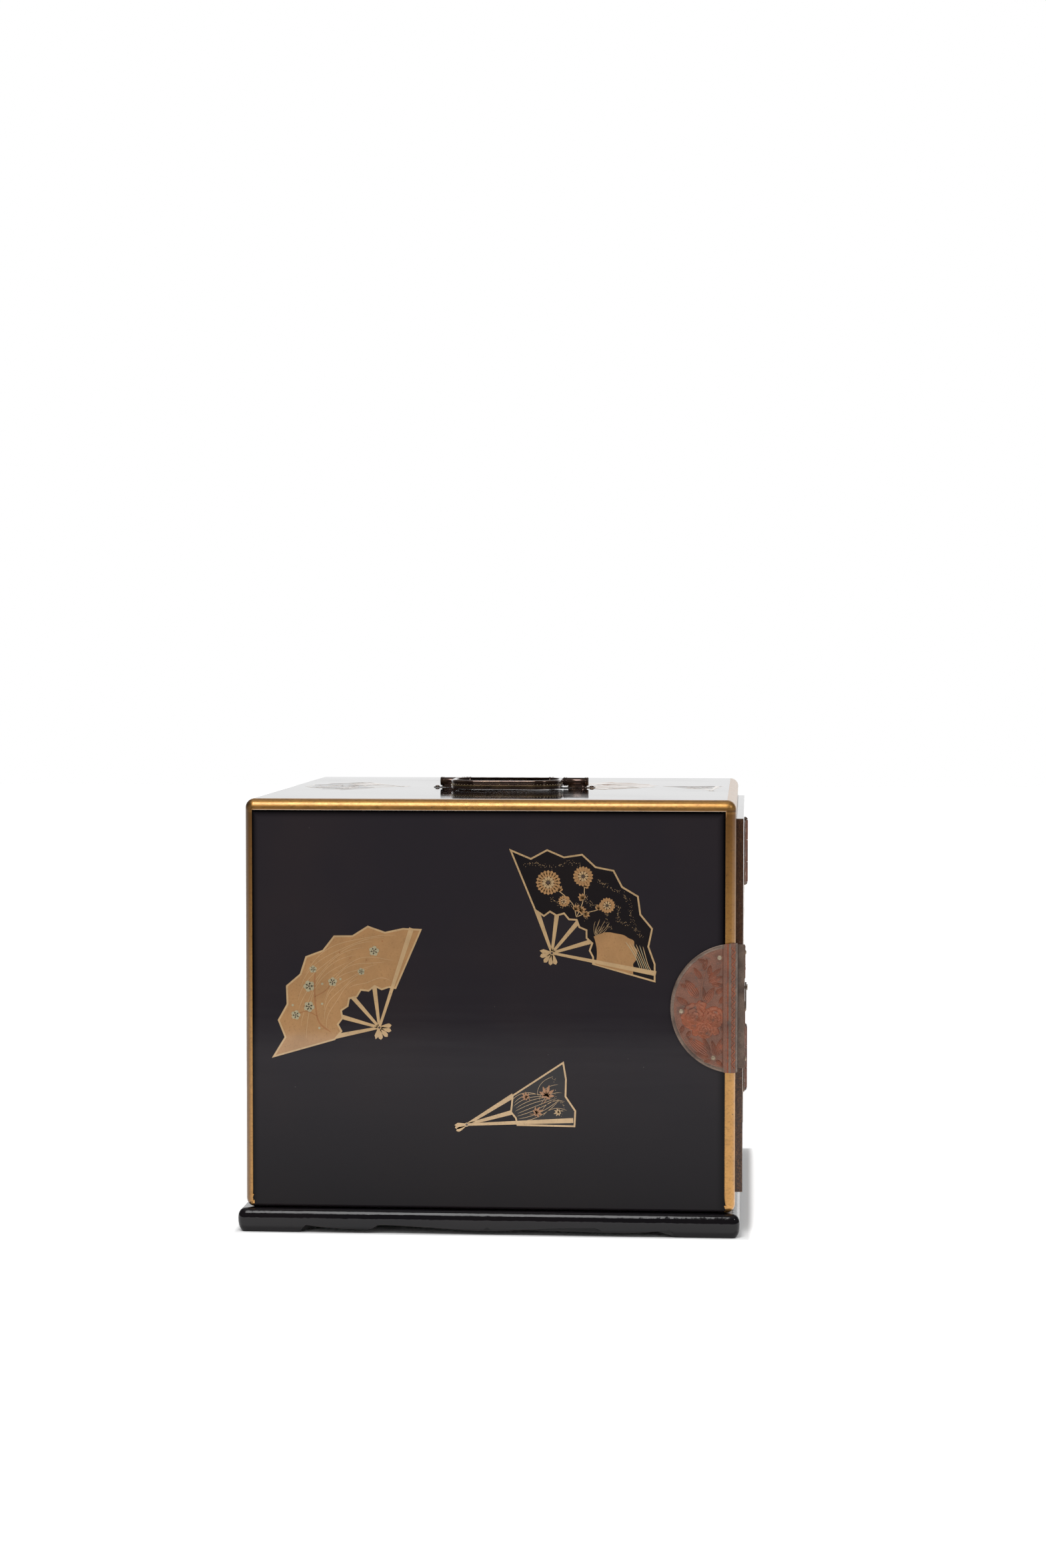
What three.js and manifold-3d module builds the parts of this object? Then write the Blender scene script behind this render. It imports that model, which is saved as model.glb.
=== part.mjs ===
// Small lacquer cabinet: a case on a low plinth, one hinged door with a lock,
// three drawers with ring pulls, and a swinging carrying handle on top.
// Millimetres, +Z up. The front faces -Y and the origin is under the middle of the box that bounds it.

import * as THREE from "three";
import { mergeVertices } from "three/addons/utils/BufferGeometryUtils.js";
import { RoundedBoxGeometry } from "three/addons/geometries/RoundedBoxGeometry.js";
import Module from "manifold-3d";

// Case
const caseWidth = 330;
const caseDepth = 300;
const caseHeight = 251.5;
const edgeRadius = 5.5;
const wall = 11;
const backThick = 8;
const linerThick = 8;
const shelfThick = 6;
const panelRecess = 1;
const rimTop = 7;
const rimFront = 6.5;
const rimBack = 4.7;

// Plinth
const plinthHeight = 14.5;
const plinthOutSide = 4;
const plinthOutFront = 3.1;
const plinthOutBack = 4.7;
const plinthRail = 16;
const plinthTopEase = 2.2;
const plinthFootEase = 2.6;
const plinthBellyHeight = 8.6;
const footLength = 37.5;
const footRise = 4.9;
const footSlope = 5.3;
const apronLow = 2.5;
const apronLobeIn = 35.9;
const apronLobeWide = 8.2;
const apronStep = 6.1;
const apronHigh = 5.5;
const notchHigh = 5.1;
const notchHalf = 6.5;

// Clearances
const glue = 0.1;
const fit = 0.3;

// Door
const doorThick = 9;
const doorProud = 4.4;
const doorGap = 0.6;
const doorStopGap = 0.4;

// Drawers
const drawerBehindDoor = 12;
const drawerBackGap = 3.4;
const drawerSideGap = 0.5;
const drawerTopGap = 0.8;
const topDrawerSpace = 54.5;
const middleDrawerSpace = 70.5;
const drawerFrontThick = 9;
const drawerSideThick = 6;
const drawerBottomThick = 4;
const drawerBackLower = 4;

// Ring pulls
const ringWire = 1.1;
const ringRadius = 9.9;
const eyeWire = 0.8;
const eyeHole = 1.5;
const eyeStem = 1.2;
const eyeAboveMiddle = 6;
const clenchHalf = 6;
const clenchThick = 1;
const rosetteRadius = 8;
const rosetteThick = 0.8;

// Hinges
const hingeFromEnd = 52;
const hingeOut = 1.4;
const hingeHalf = 22;
const knuckleRadius = 2.2;
const knuckleHalf = 7.7;
const hingePin = 1.2;
const hingeHead = 2.2;
const hingeHeadEase = 0.7;
const hingeWebInset = 0.5;
const caseLeafThick = 0.8;
const doorLeafThick = 0.7;
const doorLeafStraight = 16.9;

// Lock
const lockHeight = 140;
const lockPlateRadius = 39.5;
const sidePlateThick = 0.9;
const frontPlateThick = 1;
const plateReturn = 0.4;
const lockCaseWidth = 44;
const lockCaseHalf = 28;
const lockCaseThick = 6;
const lockCaseGap = 0.8;
const boltLength = 24;
const boltHalf = 5;
const boltThick = 3;
const boltTravel = 5;
const boltUp = 9;
const boltSunk = 0.2;
const keyholeIn = 27.5;
const keyholeRadius = 1.9;
const keyholeSlotHalf = 0.8;
const keyholeSlotDown = 6;
const keyholeDeep = 4;
const coverHalf = 3.2;
const coverPivotUp = 10;
const coverDrop = 10;
const coverThick = 0.9;
const coverHole = 1.2;
const rivetStem = 0.9;
const rivetHead = 2;
const rivetHeadThick = 0.6;
const rivetDeep = 3;

// Handle
const handleForward = 3;
const handleAxisUp = 4.1;
const handlePlateHalf = 53.5;
const handlePlateWide = 6;
const handlePlateThick = 0.5;
const handlePlateTip = 14;
const handlePlateShoulder = 2;
const postInner = 32.3;
const postOuter = 49;
const sleeveRadius = 2.95;
const rodRadius = 2.1;
const postFootHalf = 4;
const postFootWide = 2;
const stemHalf = 1.6;
const stemClenchHalf = 5;
const stemClenchThick = 1.2;
const barrelHalf = 29;
const bailShift = 2.9;
const bailHalf = 36;
const bailReach = 51;
const bailBand = 3;
const bailHeight = 6;
const bailCorner = 18;
const bailArmStart = 3.6;
const bailArmRun = 10.4;

// Sizes that follow
const caseBottom = plinthHeight;
const caseTop = caseBottom + caseHeight;
const halfWidth = caseWidth / 2;
const openHalf = halfWidth - wall;
const openBottom = caseBottom + wall;
const openTop = caseTop - wall;
const innerBack = caseDepth - backThick;
const doorInner = doorThick - doorProud;
const linerFront = doorInner + doorStopGap;
const linerInner = openHalf - linerThick;
const drawerSet = doorInner + drawerBehindDoor;
const drawerHalf = linerInner - drawerSideGap;
const drawerLength = innerBack - drawerBackGap - drawerSet;
const eyeStandoff = glue + rosetteThick + glue + eyeHole + 2 * eyeWire;
const bore = hingePin + fit;
const hingeAhead = doorProud + glue + doorLeafThick / 2;
const coverFront = doorProud + glue + frontPlateThick + glue + coverThick;
const frontOut = coverFront + glue + rivetHeadThick;
const frontY = (frontOut - caseDepth - plinthOutBack) / 2;
const beyond = 1;

const wasm = await Module();
wasm.setup();

// Materials
function finish(name, color, roughness, metalness) {
  const material = new THREE.MeshStandardMaterial({ color, roughness, metalness });
  material.name = name;
  return material;
}
const blackLacquer = finish("black_lacquer", 0x1d191b, 0.15, 0);
const sprinkledLacquer = finish("sprinkled_lacquer", 0x5b3e2d, 0.3, 0.1);
const copper = finish("copper", 0x74472c, 0.45, 0.9);
const bronze = finish("bronze", 0x3b2a22, 0.45, 0.9);
const iron = finish("iron", 0x4a4744, 0.5, 0.9);

// Solids
function solid(geometry) {
  const bare = new THREE.BufferGeometry();
  bare.setAttribute("position", geometry.getAttribute("position"));
  if (geometry.index) bare.setIndex(geometry.index);
  const merged = mergeVertices(bare, 1e-4);
  const mesh = new wasm.Mesh({
    numProp: 3,
    vertProperties: merged.attributes.position.array,
    triVerts: new Uint32Array(merged.index.array),
  });
  return new wasm.Manifold(mesh);
}

function box(x0, x1, y0, y1, z0, z1) {
  const geometry = new THREE.BoxGeometry(x1 - x0, y1 - y0, z1 - z0);
  return solid(geometry.translate((x0 + x1) / 2, (y0 + y1) / 2, (z0 + z1) / 2));
}

// A round bar along one axis; a and b place it on the other two, in x, y, z order.
function bar(axis, radius, from, to, a, b, sides = 24) {
  const geometry = new THREE.CylinderGeometry(radius, radius, to - from, sides);
  const middle = (from + to) / 2;
  if (axis === "x") geometry.rotateZ(-Math.PI / 2).translate(middle, a, b);
  if (axis === "y") geometry.translate(a, middle, b);
  if (axis === "z") geometry.rotateX(Math.PI / 2).translate(a, b, middle);
  return solid(geometry);
}

// An outline in (y, z), (x, z) or (x, y), drawn out along the axis that is left.
function prism(axis, outline, from, to, curveSegments = 6) {
  const options = { depth: to - from, bevelEnabled: false, curveSegments };
  const geometry = new THREE.ExtrudeGeometry(outline, options);
  const toX = new THREE.Matrix4().set(0, 0, 1, 0, 1, 0, 0, 0, 0, 1, 0, 0, 0, 0, 0, 1);
  if (axis === "x") geometry.applyMatrix4(toX).translate(from, 0, 0);
  if (axis === "y") geometry.rotateX(Math.PI / 2).translate(0, to, 0);
  if (axis === "z") geometry.translate(0, 0, from);
  return solid(geometry);
}

function polygon(points) {
  return new THREE.Shape(points.map(([u, v]) => new THREE.Vector2(u, v)));
}

function piece(parent, name, made, material) {
  const mesh = made.getMesh();
  const geometry = new THREE.BufferGeometry();
  geometry.setAttribute("position", new THREE.BufferAttribute(mesh.vertProperties, 3));
  geometry.setIndex(new THREE.BufferAttribute(mesh.triVerts, 1));
  geometry.computeVertexNormals();
  const node = new THREE.Mesh(geometry, material);
  node.name = name;
  parent.add(node);
}

function group(parent, x, y, z) {
  const made = new THREE.Group();
  made.position.set(x, y, z);
  parent.add(made);
  return made;
}

// Case: rounded on every outer edge, with a shallow sunk panel on each side
function caseEnvelope() {
  const rounded = new RoundedBoxGeometry(caseWidth, caseDepth, caseHeight, 3, edgeRadius);
  return solid(rounded.translate(0, caseDepth / 2, caseBottom + caseHeight / 2));
}

function sideBoard(envelope, side) {
  const [x0, x1] = side < 0 ? [-halfWidth, -openHalf] : [openHalf, halfWidth];
  const face = side * halfWidth;
  const sunk = [face - side * panelRecess, face + side * beyond].sort((a, b) => a - b);
  const board = box(x0, x1, 0, caseDepth, caseBottom, caseTop).intersect(envelope);
  const backOfPanel = caseDepth - rimBack;
  const topOfPanel = caseTop - rimTop;
  return board.subtract(box(...sunk, rimFront, backOfPanel, caseBottom - beyond, topOfPanel));
}

function mortise() {
  const deep = linerInner + boltTravel - lockCaseGap + fit;
  const y = boltFront();
  const z = lockHeight + boltUp;
  const half = boltHalf + fit;
  return box(-deep, -linerInner + beyond, y - fit, y + boltThick + fit, z - half, z + half);
}

function stemHoles(z0, z1) {
  const half = stemHalf + fit;
  const middle = (postInner + postOuter) / 2;
  const front = box(-half, half, -middle - half, -middle + half, z0, z1);
  return front.add(box(-half, half, middle - half, middle + half, z0, z1));
}

function addCase(parent) {
  const envelope = caseEnvelope();
  const across = openHalf - glue;
  const holes = stemHoles(openTop - beyond, caseTop + beyond).translate([0, handleY(), 0]);
  const top = box(-across, across, 0, caseDepth, openTop, caseTop).intersect(envelope);
  const bottom = box(-across, across, 0, caseDepth, caseBottom, openBottom);
  piece(parent, "top_board", top.subtract(holes), blackLacquer);
  piece(parent, "bottom_board", bottom.intersect(envelope), blackLacquer);
  piece(parent, "left_side", sideBoard(envelope, -1), blackLacquer);
  piece(parent, "right_side", sideBoard(envelope, 1), blackLacquer);
  const back = box(-across, across, innerBack, caseDepth, openBottom + glue, openTop - glue);
  piece(parent, "back_board", back, blackLacquer);

  const end = innerBack - glue;
  const low = openBottom + glue;
  const high = openTop - glue;
  const left = box(-across, -linerInner, linerFront, end, low, high);
  const right = box(linerInner, across, linerFront, end, low, high);
  piece(parent, "left_liner", left.subtract(mortise()), sprinkledLacquer);
  piece(parent, "right_liner", right, sprinkledLacquer);
  const half = linerInner - glue;
  const [, middle, upper] = drawerSpaces();
  const lower = box(-half, half, drawerSet, end, middle.low - shelfThick, middle.low);
  const higher = box(-half, half, drawerSet, end, upper.low - shelfThick, upper.low);
  piece(parent, "lower_shelf", lower, sprinkledLacquer);
  piece(parent, "upper_shelf", higher, sprinkledLacquer);
}

// Plinth: four mitred rails with a swelling outer face and a cusped apron between the feet
function plinthSection(low, high) {
  const section = new THREE.Shape();
  section.moveTo(low + plinthFootEase, 0);
  section.lineTo(high - plinthFootEase, 0);
  section.quadraticCurveTo(high, plinthBellyHeight / 3, high, plinthBellyHeight);
  section.quadraticCurveTo(high, plinthTop(), high - plinthTopEase, plinthTop());
  section.lineTo(low + plinthTopEase, plinthTop());
  section.quadraticCurveTo(low, plinthTop(), low, plinthBellyHeight);
  section.quadraticCurveTo(low, plinthBellyHeight / 3, low + plinthFootEase, 0);
  return section;
}

function plinthTop() {
  return plinthHeight - glue;
}

function apron(low, high) {
  const middle = (low + high) / 2;
  const foot = (high - low) / 2 - footLength;
  const lobe = foot - apronLobeIn;
  const step = lobe - apronLobeWide - apronStep;
  const cut = new THREE.Shape();
  cut.moveTo(middle + foot, -beyond);
  cut.lineTo(middle + foot, 0);
  cut.lineTo(middle + foot - footSlope, footRise);
  cut.quadraticCurveTo(middle + (foot + lobe) / 2, apronLow, middle + lobe, apronLow);
  cut.lineTo(middle + lobe - apronLobeWide, apronLow);
  cut.quadraticCurveTo(middle + step + apronStep / 2, apronLow, middle + step, apronHigh);
  cut.quadraticCurveTo(middle + (step + notchHalf) / 2, apronHigh, middle + notchHalf, apronLow);
  cut.quadraticCurveTo(middle + notchHalf / 2, apronLow, middle, notchHigh);
  cut.quadraticCurveTo(middle - notchHalf / 2, apronLow, middle - notchHalf, apronLow);
  cut.quadraticCurveTo(middle - (step + notchHalf) / 2, apronHigh, middle - step, apronHigh);
  cut.quadraticCurveTo(middle - step - apronStep / 2, apronLow, middle - step - apronStep, apronLow);
  cut.lineTo(middle - lobe, apronLow);
  cut.quadraticCurveTo(middle - (foot + lobe) / 2, apronLow, middle - foot + footSlope, footRise);
  cut.lineTo(middle - foot, 0);
  cut.lineTo(middle - foot, -beyond);
  return cut;
}

function addPlinth(parent) {
  const x1 = halfWidth + plinthOutSide;
  const x0 = -x1;
  const y0 = -plinthOutFront;
  const y1 = caseDepth + plinthOutBack;
  const swell = prism("y", plinthSection(x0, x1), y0, y1, 4);
  const envelope = swell.intersect(prism("x", plinthSection(y0, y1), x0, x1, 4));
  const sideApron = prism("x", apron(y0, y1), x0 - beyond, x1 + beyond, 4);
  const frontApron = prism("y", apron(x0, x1), y0 - beyond, y1 + beyond, 4);
  // The mitre lines run at 45 degrees from each outer corner; each rail stops short by the glue line.
  const out = beyond;
  const inn = plinthRail;
  const left = [
    [x0 - out, y0 - out + glue],
    [x0 + inn, y0 + inn + glue],
    [x0 + inn, y1 - inn - glue],
    [x0 - out, y1 + out - glue],
  ];
  const front = [
    [x0 - out, y0 - out],
    [x1 + out, y0 - out],
    [x1 - inn, y0 + inn],
    [x0 + inn, y0 + inn],
  ];
  const right = left.map(([x, y]) => [-x, y]);
  const back = front.map(([x, y]) => [x, y0 + y1 - y]);
  const rails = [
    ["plinth_left", left, sideApron],
    ["plinth_right", right, sideApron],
    ["plinth_front", front, frontApron],
    ["plinth_back", back, frontApron],
  ];
  for (const [name, plan, apronCut] of rails) {
    const rail = prism("z", polygon(plan), -beyond, plinthHeight + beyond).intersect(envelope);
    piece(parent, name, rail.subtract(apronCut), blackLacquer);
  }
}

// Drawers, from the bottom one up
function drawerSpaces() {
  const upperLow = openTop - topDrawerSpace;
  const middleLow = upperLow - shelfThick - middleDrawerSpace;
  return [
    { name: "lower", low: openBottom, high: middleLow - shelfThick },
    { name: "middle", low: middleLow, high: upperLow - shelfThick },
    { name: "upper", low: upperLow, high: openTop },
  ];
}

function addDrawer(parent, { name, low, high }) {
  const drawer = group(parent, 0, drawerSet, low + fit);
  const tall = high - low - fit - drawerTopGap;
  const inner = drawerHalf - drawerSideThick;
  const sideFront = drawerFrontThick + glue;
  const backFront = drawerLength - drawerSideThick;
  const bottomBack = backFront - glue;
  const eyeUp = tall / 2 + eyeAboveMiddle;
  const hole = bar("y", eyeStem + fit, -beyond, drawerFrontThick + beyond, 0, eyeUp);
  const front = box(-drawerHalf, drawerHalf, 0, drawerFrontThick, 0, tall).subtract(hole);
  const left = box(-drawerHalf, -inner, sideFront, drawerLength, 0, tall);
  const right = box(inner, drawerHalf, sideFront, drawerLength, 0, tall);
  const across = inner - glue;
  const back = box(-across, across, backFront, drawerLength, 0, tall - drawerBackLower);
  const floor = box(-across, across, sideFront, bottomBack, 0, drawerBottomThick);
  piece(drawer, name + "_drawer_front", front, sprinkledLacquer);
  piece(drawer, name + "_drawer_left", left, blackLacquer);
  piece(drawer, name + "_drawer_right", right, blackLacquer);
  piece(drawer, name + "_drawer_back", back, blackLacquer);
  piece(drawer, name + "_drawer_bottom", floor, blackLacquer);
  addRingPull(group(drawer, 0, 0, eyeUp), name);
}

// Ring pull: an eye pin through the drawer front, clenched inside, with a washer and a loose ring
function addRingPull(parent, name) {
  const eye = new THREE.TorusGeometry(eyeHole + eyeWire, eyeWire, 8, 16);
  eye.rotateY(Math.PI / 2).translate(0, -eyeStandoff, 0);
  const clench = drawerFrontThick + fit;
  const stemFront = -eyeStandoff + eyeHole + eyeWire;
  const stem = bar("y", eyeStem, stemFront, clench + clenchThick, 0, 0, 16);
  const legs = box(-clenchHalf, clenchHalf, clench, clench + clenchThick, -eyeStem, eyeStem);
  piece(parent, name + "_eye_pin", solid(eye).add(stem).add(legs), copper);

  const washer = bar("y", rosetteRadius, -glue - rosetteThick, -glue, 0, 0, 32);
  const middle = bar("y", eyeStem + fit, -beyond - rosetteThick, beyond, 0, 0, 16);
  piece(parent, name + "_rosette", washer.subtract(middle), copper);

  const ring = new THREE.TorusGeometry(ringRadius, ringWire, 8, 32);
  ring.rotateX(Math.PI / 2).translate(0, -eyeStandoff, -ringRadius);
  piece(parent, name + "_ring", solid(ring), copper);
}

// Door
function keyhole(from, to) {
  const x = -halfWidth + keyholeIn;
  const slot = box(x - keyholeSlotHalf, x + keyholeSlotHalf, from, to, -keyholeSlotDown, 0);
  return bar("y", keyholeRadius, from, to, x, 0, 16).add(slot);
}

function rivetHole(radius, from, to) {
  return bar("y", radius, from, to, -halfWidth + keyholeIn, coverPivotUp, 16);
}

function addDoor(parent) {
  const half = openHalf - doorGap;
  const low = openBottom + doorGap;
  const high = openTop - doorGap;
  const key = keyhole(-doorProud - beyond, doorInner + beyond);
  const rivet = rivetHole(coverHole, -doorProud - beyond, -doorProud + rivetDeep + fit);
  const holes = key.add(rivet).translate([0, 0, lockHeight]);
  const door = box(-half, half, -doorProud, doorInner, low, high);
  piece(parent, "door", door.subtract(holes), blackLacquer);
}

// Hinges, each about its own pin; the case leaf wraps back over the rim on to the sunk panel
function addHinge(parent, name) {
  const rimFace = -hingeOut + glue;
  const rimSkin = rimFace + caseLeafThick;
  const panelFace = rimFace - panelRecess;
  const panelSkin = panelFace + caseLeafThick;
  const front = knuckleRadius + fit;
  const step = hingeAhead + rimFront + glue;
  const end = hingeAhead + hingeHalf + beyond;
  const section = polygon([
    [rimFace, front],
    [rimSkin, front],
    [rimSkin, step + caseLeafThick],
    [panelSkin, step + caseLeafThick],
    [panelSkin, end],
    [panelFace, end],
    [panelFace, step],
    [rimFace, step],
  ]);
  const outerLow = knuckleHalf + fit;
  const disc = bar("x", hingeHalf, -halfWidth, halfWidth, hingeAhead, 0, 48);
  const holeAlong = bar("z", bore, -hingeHalf - beyond, hingeHalf + beyond, 0, 0);
  let caseLeaf = prism("z", section, -hingeHalf, hingeHalf).intersect(disc);
  for (const [z0, z1] of [
    [-hingeHalf, -outerLow],
    [outerLow, hingeHalf],
  ]) {
    const web = box(rimFace, rimSkin, 0, front + beyond, z0 + hingeWebInset, z1 - hingeWebInset);
    caseLeaf = caseLeaf.add(bar("z", knuckleRadius, z0, z1, 0, 0));
    caseLeaf = caseLeaf.add(web);
  }
  piece(parent, name + "_hinge_case_leaf", caseLeaf.subtract(holeAlong), copper);

  const leafBack = hingeAhead - doorProud - glue;
  const leafFront = leafBack - doorLeafThick;
  const straight = -front - doorLeafStraight;
  const outline = new THREE.Shape();
  outline.moveTo(-front, -hingeHalf);
  outline.lineTo(-front, hingeHalf);
  outline.lineTo(straight, hingeHalf);
  outline.absarc(straight, 0, hingeHalf, Math.PI / 2, 1.5 * Math.PI, false);
  const tongue = box(-front - beyond, 0, leafFront, leafBack, -knuckleHalf, knuckleHalf);
  const knuckle = bar("z", knuckleRadius, -knuckleHalf, knuckleHalf, 0, 0);
  const plate = prism("y", outline, leafFront, leafBack, 20);
  const doorLeaf = plate.add(tongue).add(knuckle).subtract(holeAlong);
  piece(parent, name + "_hinge_door_leaf", doorLeaf, copper);

  const seat = hingeHalf + fit;
  const eased = hingeHead - hingeHeadEase;
  const profile = [
    [0, -seat - hingeHead],
    [eased, -seat - eased],
    [hingeHead, -seat],
    [hingePin, -seat],
    [hingePin, seat],
    [hingeHead, seat],
    [eased, seat + eased],
    [0, seat + hingeHead],
  ];
  const turned = new THREE.LatheGeometry(profile.map(([r, z]) => new THREE.Vector2(r, z)), 16);
  piece(parent, name + "_hinge_pin", solid(turned.rotateX(Math.PI / 2)), copper);
}

// Lock, about the height of its plates: plates on the case's corner and the door, and a rim lock inside
function boltFront() {
  return doorInner + glue + (lockCaseThick - boltThick) / 2;
}

function plateDiscs() {
  const round = bar("x", lockPlateRadius, -caseWidth, caseWidth, 0, 0, 64);
  return round.intersect(bar("y", lockPlateRadius, -caseDepth, caseDepth, -halfWidth, 0, 64));
}

function addLock(parent) {
  const centre = -halfWidth + edgeRadius;
  const insideRadius = edgeRadius + glue;
  const outsideRadius = insideRadius + sidePlateThick;
  const rimFace = -halfWidth - glue;
  const panelFace = rimFace + panelRecess;
  const step = rimFront + glue;
  const end = lockPlateRadius + beyond;
  const flapEnd = -openHalf - fit;
  const section = new THREE.Shape();
  section.moveTo(panelFace, end);
  section.lineTo(panelFace, step);
  section.lineTo(rimFace, step);
  section.lineTo(rimFace, edgeRadius);
  section.absarc(centre, edgeRadius, insideRadius, Math.PI, 1.5 * Math.PI, false);
  section.lineTo(flapEnd, -glue);
  section.lineTo(flapEnd, -glue - sidePlateThick);
  section.lineTo(centre, edgeRadius - outsideRadius);
  section.absarc(centre, edgeRadius, outsideRadius, 1.5 * Math.PI, Math.PI, true);
  section.lineTo(rimFace - sidePlateThick, step + sidePlateThick);
  section.lineTo(panelFace - sidePlateThick, step + sidePlateThick);
  section.lineTo(panelFace - sidePlateThick, end);
  const wrapped = prism("z", section, -lockPlateRadius, lockPlateRadius, 5);
  piece(parent, "lock_side_plate", wrapped.intersect(plateDiscs()), copper);

  const plateBack = -doorProud - glue;
  const plateFront = plateBack - frontPlateThick;
  const edge = -openHalf + doorGap - glue;
  const reach = -halfWidth + lockPlateRadius;
  const returnBack = -glue - sidePlateThick - fit;
  const flat = box(edge - plateReturn, reach, plateFront, plateBack, -lockPlateRadius, lockPlateRadius);
  const turnedIn = box(edge - plateReturn, edge, plateFront, returnBack, -lockPlateRadius, lockPlateRadius);
  const holes = keyhole(plateFront - beyond, plateBack + beyond)
    .add(rivetHole(coverHole, plateFront - beyond, plateBack + beyond));
  const frontPlate = flat.add(turnedIn).intersect(plateDiscs()).subtract(holes);
  piece(parent, "lock_front_plate", frontPlate, copper);

  const lockLeft = -linerInner + lockCaseGap;
  const lockFront = doorInner + glue;
  const lockBack = lockFront + lockCaseThick;
  const y = boltFront();
  const slotEnd = lockLeft + boltSunk + boltLength + fit;
  const shell = box(lockLeft, lockLeft + lockCaseWidth, lockFront, lockBack, -lockCaseHalf, lockCaseHalf);
  const half = boltHalf + fit;
  const slot = box(lockLeft - beyond, slotEnd, y - fit, y + boltThick + fit, boltUp - half, boltUp + half);
  const key = keyhole(lockFront - beyond, lockFront + keyholeDeep);
  piece(parent, "lock_case", shell.subtract(slot).subtract(key), iron);

  const boltLeft = lockLeft + boltSunk;
  const bolt = box(boltLeft, boltLeft + boltLength, y, y + boltThick, boltUp - boltHalf, boltUp + boltHalf);
  piece(parent, "lock_bolt", bolt, iron);

  const coverBack = plateFront - glue;
  const coverX = -halfWidth + keyholeIn;
  const drop = new THREE.Shape();
  drop.absarc(coverX, coverPivotUp, coverHalf, 0, Math.PI, false);
  drop.lineTo(coverX - coverHalf, coverPivotUp - coverDrop);
  drop.absarc(coverX, coverPivotUp - coverDrop, coverHalf, Math.PI, 2 * Math.PI, false);
  const coverPlate = prism("y", drop, coverBack - coverThick, coverBack, 10);
  const coverBore = rivetHole(coverHole, coverBack - coverThick - beyond, coverBack + beyond);
  piece(parent, "keyhole_cover", coverPlate.subtract(coverBore), copper);

  const headBack = -coverFront - glue;
  const stem = rivetHole(rivetStem, headBack - rivetHeadThick / 2, -doorProud + rivetDeep);
  const head = rivetHole(rivetHead, headBack - rivetHeadThick, headBack);
  piece(parent, "cover_rivet", stem.add(head), copper);
}

// Handle, about the middle of its plate on the case top: two posts carry a rod, and the bail turns on it
function handleY() {
  return caseDepth / 2 - handleForward;
}

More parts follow.
